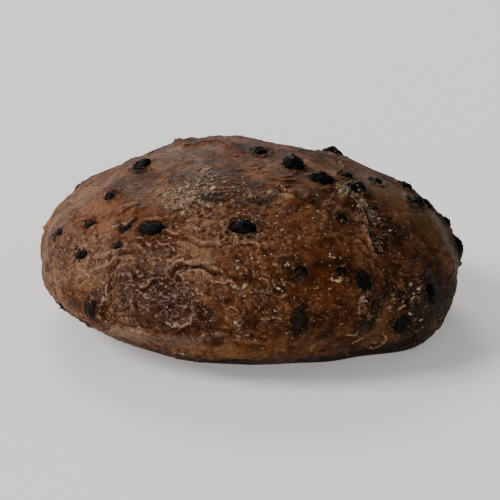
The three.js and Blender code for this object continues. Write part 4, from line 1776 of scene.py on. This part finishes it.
@dataclass
class Raisins:
    """The raisins that show, each a wrinkled piece in the place of a packed one.

    A raisin's relief is given in shares of its half width: wrinkles, lumps, bits and long bends.
    """

    places: list[PackedRaisin]
    finish: DriedRaisin = field(default_factory=DriedRaisin)
    seed: int = 21
    finer: int = 3
    wrinkles: float = 0.1
    wrinkle_mm: float = 2.6
    fine_wrinkle_mm: float = 1.5
    lumps: float = 0.2
    lump_mm: float = 5
    bits: float = 0.06
    bit_mm: float = 2.4
    bends: float = 0.3
    bend_mm: float = 9
    floured: float = 0.35

    def build(self) -> list[bpy.types.Object]:
        """Builds every raisin.

        Returns:
            The raisins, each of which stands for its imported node.
        """
        material = self.finish.material()
        noise = DoughNoise(self.seed)
        pieces = [self._raisin(place, noise, material) for place in self.places]
        log.info("raisins: %d pieces, %d faces", len(pieces), sum(len(p.data.polygons) for p in pieces))
        return pieces

    def _haze(self, place: PackedRaisin) -> float:
        """Returns how much flour and crust cling to a raisin: more to a small one, or low on the front."""
        across, forward, up = place.middle
        low = 1 - smooth_step(30, 55, up)
        front = smooth_step(50, 90, -forward) * (1 - smooth_step(65, 95, np.abs(across)))
        small = 1 - smooth_step(3.5, 6, place.half_length)
        return float(0.15 + 0.45 * low * front + 0.35 * small)

    def _raisin(
        self, place: PackedRaisin, noise: DoughNoise, material: bpy.types.Material
    ) -> bpy.types.Object:
        """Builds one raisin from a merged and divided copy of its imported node.

        Args:
            place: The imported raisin.
            noise: The noise that wrinkles it.
            material: The raisins' finish.

        Returns:
            The raisin.
        """
        piece = new_object(f"{place.node}_skin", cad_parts[place.node].data.copy())
        select_only(piece)
        bpy.ops.object.mode_set(mode="EDIT")
        bpy.ops.mesh.select_all(action="SELECT")
        bpy.ops.mesh.remove_doubles(threshold=0.01 * MM)
        bpy.ops.object.mode_set(mode="OBJECT")
        shade_smooth(piece.data)
        finer = piece.modifiers.new("finer", "SUBSURF")
        finer.levels = finer.render_levels = self.finer
        bpy.ops.object.modifier_apply(modifier=finer.name)
        mesh = piece.data
        haze = self._haze(place)
        points = points_of(mesh)
        crest, height = self._relief(noise, points)
        sunk = 0.3 * haze * np.clip((points - place.middle) @ place.out, 0, None)
        raised = points + normals_of(mesh) * (place.half_width * height)[:, None]
        set_points(mesh, raised - place.out * sunk[:, None])
        set_attribute(mesh, "crest", np.clip(crest, 0, 1))
        set_attribute(mesh, "haze", np.full(len(points), haze))
        set_attribute(mesh, Look.FLOUR.value, np.full(len(points), self.floured * haze))
        mesh.materials.clear()
        mesh.materials.append(material)
        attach(piece, "root")
        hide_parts(place.node)
        return piece

    def _relief(self, noise: DoughNoise, points: np.ndarray) -> tuple[np.ndarray, np.ndarray]:
        """Wrinkles a raisin.

        Args:
            noise: The noise that wrinkles it.
            points: Its points.

        Returns:
            How much each point lies on a wrinkle's crest, and its height in half widths.
        """
        wandering = noise.warped(points, 5, 1.2)
        crest = noise.creases(wandering, self.wrinkle_mm)
        crest += 0.6 * noise.creases(wandering + 70, self.fine_wrinkle_mm)
        height = self.wrinkles * (crest - 0.35)
        height += self.lumps * noise.at(points + 30, self.lump_mm)
        height += self.bits * noise.at(points + 60, self.bit_mm)
        height += self.bends * noise.at(points + 90, self.bend_mm)
        return crest, height


@dataclass
class Strewn:
    """Small grains of one kind, strewn over the loaf as one joined piece.

    Sizes are in millimetres and are drawn so that most grains are small. Flatness is a grain's thickness
    as a share of its size, longest is how much longer than wide one may be, and level is how strongly they
    lie with their length level. Liking says how strongly they keep to floured places, clumping how
    strongly to loose clumps of their own, and bare how many still lie elsewhere. Placed grains lie in
    tight clumps at places that are given.
    """

    name: str
    finish: LooseGrain
    count: int
    smallest: float
    largest: float
    flatness: float
    seed: int
    liking: float = 1.7
    longest: float = 1.5
    level: float = 0.0
    placed: tuple[Crumb, ...] = ()
    clump: int = 5
    smallness: float = 2.2
    darkness: float = 1.8
    bare: float = 0.04
    clumping: float = 2.4
    clumps_apart: float = 8.0
    foot_kept_clear: Range = (0.5, 3)
    roughness: float = 0.36
    lift: float = 0.12
    clump_reach: float = 0.55
    clump_sizes: Range = (0.25, 0.6)
    clump_tint: float = 0.15
    far_mm: float = 300.0

    def build(self, ground: list[bpy.types.Object]) -> bpy.types.Object:
        """Strews the grains.

        Args:
            ground: The crust that they lie on, and the raisins.

        Returns:
            The grains, joined.
        """
        random = np.random.default_rng(self.seed)
        grain, faces = self._grain()
        places, normals = self._places(ground, random)
        size = random.random(self.count) ** self.smallness
        size = self.smallest * (self.largest / self.smallest) ** size
        shade = random.random(self.count) ** self.darkness
        strewn = (places, normals, size, shade)
        if self.placed:
            strewn = [np.concatenate(pair) for pair in zip(self._clumps(ground, random), strewn)]
        points = self._shaped(grain, *strewn[:3], random)
        corners = faces[None] + len(grain) * np.arange(len(points))[:, None, None]
        mesh = self._mesh(points.reshape(-1, 3), corners)
        set_attribute(mesh, "shade", np.repeat(strewn[3], len(grain)))
        mesh.materials.append(self.finish.material())
        piece = new_object(self.name, mesh)
        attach(piece, "root")
        log.info("%s: %d grains, %d faces", self.name, len(points), len(mesh.polygons))
        return piece

    def _grain(self) -> tuple[np.ndarray, np.ndarray]:
        """Returns the points and the three-cornered faces of one round grain with a diameter of 2."""
        deselect_all()
        bpy.ops.mesh.primitive_ico_sphere_add(subdivisions=1, radius=1)
        ball = bpy.context.object
        points = np.array([corner.co for corner in ball.data.vertices])
        faces = np.array([face.vertices for face in ball.data.polygons])
        bpy.data.objects.remove(ball)
        return points, faces

    def _shaped(
        self,
        grain: np.ndarray,
        places: np.ndarray,
        normals: np.ndarray,
        size: np.ndarray,
        random: np.random.Generator,
    ) -> np.ndarray:
        """Gives every grain its own shape and turn.

        Args:
            grain: The points of a round grain.
            places: Where the grains lie.
            normals: The way out of the crust there.
            size: The width of each grain.
            random: The draw that shapes them.

        Returns:
            The points of every grain, grain by grain.
        """
        count = len(size)
        about = random.normal(size=(count, 3)) + np.array([0, 0, self.level])
        sideways = unit(np.cross(normals, about))
        forward = np.cross(normals, sideways)
        shape = grain[None] * (1 + self.roughness * random.normal(size=(count, len(grain), 1)))
        long = size * random.uniform(1.0, self.longest, count)
        return (
            places[:, None]
            + sideways[:, None] * shape[..., 0:1] * long[:, None, None] / 2
            + forward[:, None] * shape[..., 1:2] * size[:, None, None] / 2
            + normals[:, None] * (shape[..., 2:3] * self.flatness + self.lift) * size[:, None, None] / 2
        )

    def _mesh(self, points: np.ndarray, corners: np.ndarray) -> bpy.types.Mesh:
        """Writes a mesh of triangles.

        Args:
            points: The points in millimetres.
            corners: The point numbers of the triangles, in one run.

        Returns:
            The mesh.
        """
        deselect_all()
        mesh = bpy.data.meshes.new(self.name)
        mesh.vertices.add(len(points))
        mesh.loops.add(corners.size)
        mesh.polygons.add(corners.size // 3)
        mesh.loops.foreach_set("vertex_index", corners.ravel())
        mesh.polygons.foreach_set("loop_start", np.arange(0, corners.size, 3))
        set_points(mesh, points)
        mesh.update(calc_edges=True)
        return mesh

    def _clumps(
        self, ground: list[bpy.types.Object], random: np.random.Generator
    ) -> tuple[np.ndarray, np.ndarray, np.ndarray, np.ndarray]:
        """Breaks each placed crumb into a clump of grains.

        Args:
            ground: The crust that they lie on, and the raisins.
            random: The draw that spreads them.

        Returns:
            The place, the normal, the size and the shade of each grain.
        """
        spots_on_ground, out = self._placed_at(ground)
        clump = np.repeat(np.arange(len(self.placed)), self.clump)
        large = np.array([crumb.size for crumb in self.placed])[clump]
        jump = unit(np.cross(out[clump], random.normal(size=(len(clump), 3))))
        jump = jump * random.random((len(clump), 1))
        places = spots_on_ground[clump] + self.clump_reach * large[:, None] * jump
        size = large * random.uniform(*self.clump_sizes, len(clump))
        shade = np.array([crumb.shade for crumb in self.placed])[clump]
        shade = np.clip(shade + random.normal(0, self.clump_tint, len(clump)), 0, 1)
        return places, out[clump], size, shade

    def _placed_at(self, ground: list[bpy.types.Object]) -> tuple[np.ndarray, np.ndarray]:
        """Finds where the placed crumbs lie on the crust or on a raisin.

        Args:
            ground: The crust and the raisins.

        Returns:
            The crumbs' places and the normals there.
        """
        graph = bpy.context.evaluated_depsgraph_get()
        trees = [BVHTree.FromObject(piece, graph) for piece in ground]
        centre = Vector(LoafForm().centre) * MM
        places = []
        normals = []
        for crumb in self.placed:
            out = Vector(direction(crumb.turn, crumb.rise))
            hits = [tree.ray_cast(centre + self.far_mm * MM * out, -out) for tree in trees]
            place, normal, _, _ = min((hit for hit in hits if hit[0]), key=lambda hit: hit[3])
            places.append(place / MM)
            normals.append(normal)
        return np.array(places), np.array(normals)

    def _places(
        self, ground: list[bpy.types.Object], random: np.random.Generator
    ) -> tuple[np.ndarray, np.ndarray]:
        """Draws places on the loaf, oftener where more flour lies, in loose clumps and clear of the base.

        Args:
            ground: The crust and the raisins.
            random: The draw.

        Returns:
            The places and the normals there.
        """
        quads = []
        flours = []
        for piece in ground:
            mesh = piece.data
            corners = np.empty(len(mesh.polygons) * 4, dtype=np.int32)
            mesh.polygons.foreach_get("vertices", corners)
            corners = corners.reshape(-1, 4)
            quads.append(points_of(mesh)[corners])
            flours.append(attribute_of(mesh, Look.FLOUR.value)[corners].mean(axis=1))
        quads = np.concatenate(quads)
        crossed = np.cross(quads[:, 2] - quads[:, 0], quads[:, 3] - quads[:, 1])
        middle = quads.mean(axis=1)
        clumped = 0.4 + self.clumping * DoughNoise(self.seed).at(middle, self.clumps_apart)
        clumped = self.bare + np.clip(clumped, 0, None) ** 1.6
        floured = (self.bare + np.concatenate(flours)) ** self.liking
        weight = np.linalg.norm(crossed, axis=1) * floured * clumped
        weight *= smooth_step(*self.foot_kept_clear, middle[:, 2])
        chosen = random.choice(len(quads), self.count, p=weight / weight.sum())
        across, along = random.random((2, self.count, 1))
        quad = quads[chosen]
        near = quad[:, 0] * (1 - across) + quad[:, 1] * across
        far = quad[:, 3] * (1 - across) + quad[:, 2] * across
        return near * (1 - along) + far * along, unit(crossed[chosen])


def shreds_round(
    places: list[PackedRaisin],
    seed: int = 33,
    shreds_per_mm: float = 2.2,
    reaches: Range = (0.85, 1.3),
    sizes: Range = (1.0, 2.6),
) -> tuple[Crumb, ...]:
    """Places shreds of crust round the raisins, where it burst and burnt as they swelled.

    Args:
        places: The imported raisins.
        seed: The number that the draws start from.
        shreds_per_mm: How many more shreds a raisin has for each millimetre of its half length.
        reaches: How far from a raisin's middle they lie, as a share of its half size.
        sizes: Their least and greatest size.

    Returns:
        A crumb for every shred.
    """
    random = np.random.default_rng(seed)
    shreds = []
    for place in places:
        for angle in random.uniform(0, 2 * math.pi, round(shreds_per_mm * place.half_length + 3)):
            reach = random.uniform(*reaches)
            sideways = place.along * place.half_length * math.cos(angle)
            upwards = place.across * place.half_width * math.sin(angle)
            turn, rise = LoafForm().place_of(place.middle + reach * (sideways + upwards))
            shreds.append(Crumb(turn, rise, random.uniform(*sizes), random.random() ** 1.7))
    return tuple(shreds)


@dataclass(frozen=True)
class Sun:
    """A soft light that shines from a direction, all over the scene."""

    name: str
    towards: tuple[float, float, float]
    power: float


@dataclass(frozen=True)
class Studio:
    """A pale floor, soft light from the upper left and the camera that looks down on the loaf's front."""

    distance: float = 0.8
    elevation: float = 18.0
    lens: float = 110.2
    sensor: float = 36.0
    aim: tuple[float, float, float] = (0.0004, 0.0014, 0.033)
    floor_size: float = 12.0
    floor_colour: str = "#f4f2ef"
    floor_glow: float = 0.28
    room_colour: str = "#eeeeee"
    room_glow: float = 0.28
    light_spread: float = 28.0
    suns: tuple[Sun, ...] = (
        Sun("key", (-0.8, -0.06, 0.58), 2.55),
        Sun("rim", (-0.2, 0.8, 0.55), 1.35),
        Sun("fill", (-0.3, -0.9, 0.25), 0.4),
    )

    def build(self) -> None:
        """Builds the floor, the lights and the camera."""
        self._floor()
        for sun in self.suns:
            data = bpy.data.lights.new(sun.name, "SUN")
            data.angle = math.radians(self.light_spread)
            data.energy = sun.power
            light = new_object(sun.name, data)
            light.rotation_euler = Vector(sun.towards).to_track_quat("Z", "Y").to_euler()
        world = bpy.data.worlds.new("soft_room")
        world.use_nodes = True
        world.node_tree.nodes["Background"].inputs["Color"].default_value = linear(self.room_colour)
        world.node_tree.nodes["Background"].inputs["Strength"].default_value = self.room_glow
        bpy.context.scene.world = world
        self._camera()

    def _floor(self) -> None:
        """Adds a matt paper floor that glows a little, as one in bright soft light seems to."""
        deselect_all()
        bpy.ops.mesh.primitive_plane_add(size=self.floor_size, location=(0, 0, 0))
        floor = bpy.context.object
        floor.name = "floor"
        material, tree = new_material("pale_paper_sweep")
        settings = {
            "Base Color": self.floor_colour,
            "Roughness": 0.9,
            "Emission Color": self.floor_colour,
            "Emission Strength": self.floor_glow,
        }
        shader = add_node(tree, "ShaderNodeBsdfPrincipled", settings)
        add_node(tree, "ShaderNodeOutputMaterial", {}, {"Surface": shader.outputs["BSDF"]})
        floor.data.materials.append(material)

    def _camera(self) -> None:
        """Adds the camera, at the front and a little above."""
        data = bpy.data.cameras.new("camera")
        data.lens = self.lens
        data.sensor_width = self.sensor
        camera = new_object("camera", data)
        rise = math.radians(self.elevation)
        back = Vector((0, -math.cos(rise), math.sin(rise)))
        camera.location = Vector(self.aim) + back * self.distance
        camera.rotation_euler = (-back).to_track_quat("-Z", "Y").to_euler()
        bpy.context.scene.camera = camera


def strew(ground: list[bpy.types.Object], places: list[PackedRaisin]) -> None:
    """Strews flour, bran and crumbs over the loaf.

    Args:
        ground: The crust and the raisins.
        places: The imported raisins.
    """
    # Coarse flour: cream grains that stand up and catch the light.
    flour = LooseGrain("coarse_wheat_flour", "#6b5340", "#d0b595")
    Strewn(
        "flour_grains", flour, count=1100, smallest=0.25, largest=0.95, flatness=0.45, seed=3
    ).build(ground)
    # Flour that dried to a paste: thin pale scales, most of them on the floured wrinkles.
    paste = LooseGrain("dried_flour_paste", "#644d3a", "#c2aa8d")
    Strewn(
        "flour_flakes", paste, count=800, smallest=0.5, largest=2.1, flatness=0.13, seed=17,
        liking=5, longest=2.6, level=3,
    ).build(ground)
    # Bran: thin brown husks, a little darker than the flour.
    bran = LooseGrain("wheat_bran", "#5d3a24", "#93735a")
    Strewn(
        "bran_flakes", bran, count=2000, smallest=0.5, largest=1.7, flatness=0.15, seed=5,
        longest=2.4, level=2,
    ).build(ground)
    # Crumbs of baked dough: blunt, golden to grey.
    dough = LooseGrain("baked_dough_crumb", "#745131", "#a8937d")
    Strewn(
        "dough_crumbs", dough, count=90, smallest=0.6, largest=1.5, flatness=0.4, seed=9,
        placed=SHOWN_CRUMBS,
    ).build(ground)
    # Burst crust: thin shreds round the raisins, burnt or dry and pale.
    char = LooseGrain("burst_crust", "#2a160c", "#735843")
    Strewn(
        "crust_shreds", char, count=0, smallest=0.6, largest=1.5, flatness=0.22, seed=11,
        longest=2.4, level=1, placed=shreds_round(places), clump=2,
    ).build(ground)


def main() -> None:
    """Builds the loaf, what lies on it and the studio."""
    logging.basicConfig(level=logging.INFO)
    form = LoafForm()
    names = sorted(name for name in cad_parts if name.startswith("raisin_"))
    places = [PackedRaisin.measure(name, form) for name in names]
    crust = Crust(form, places)
    crust_piece = crust.build()
    TornSkin(crust).build(crust_piece)
    strew([crust_piece, *Raisins(places).build()], places)
    Studio().build()


if __name__ == "__main__":
    main()
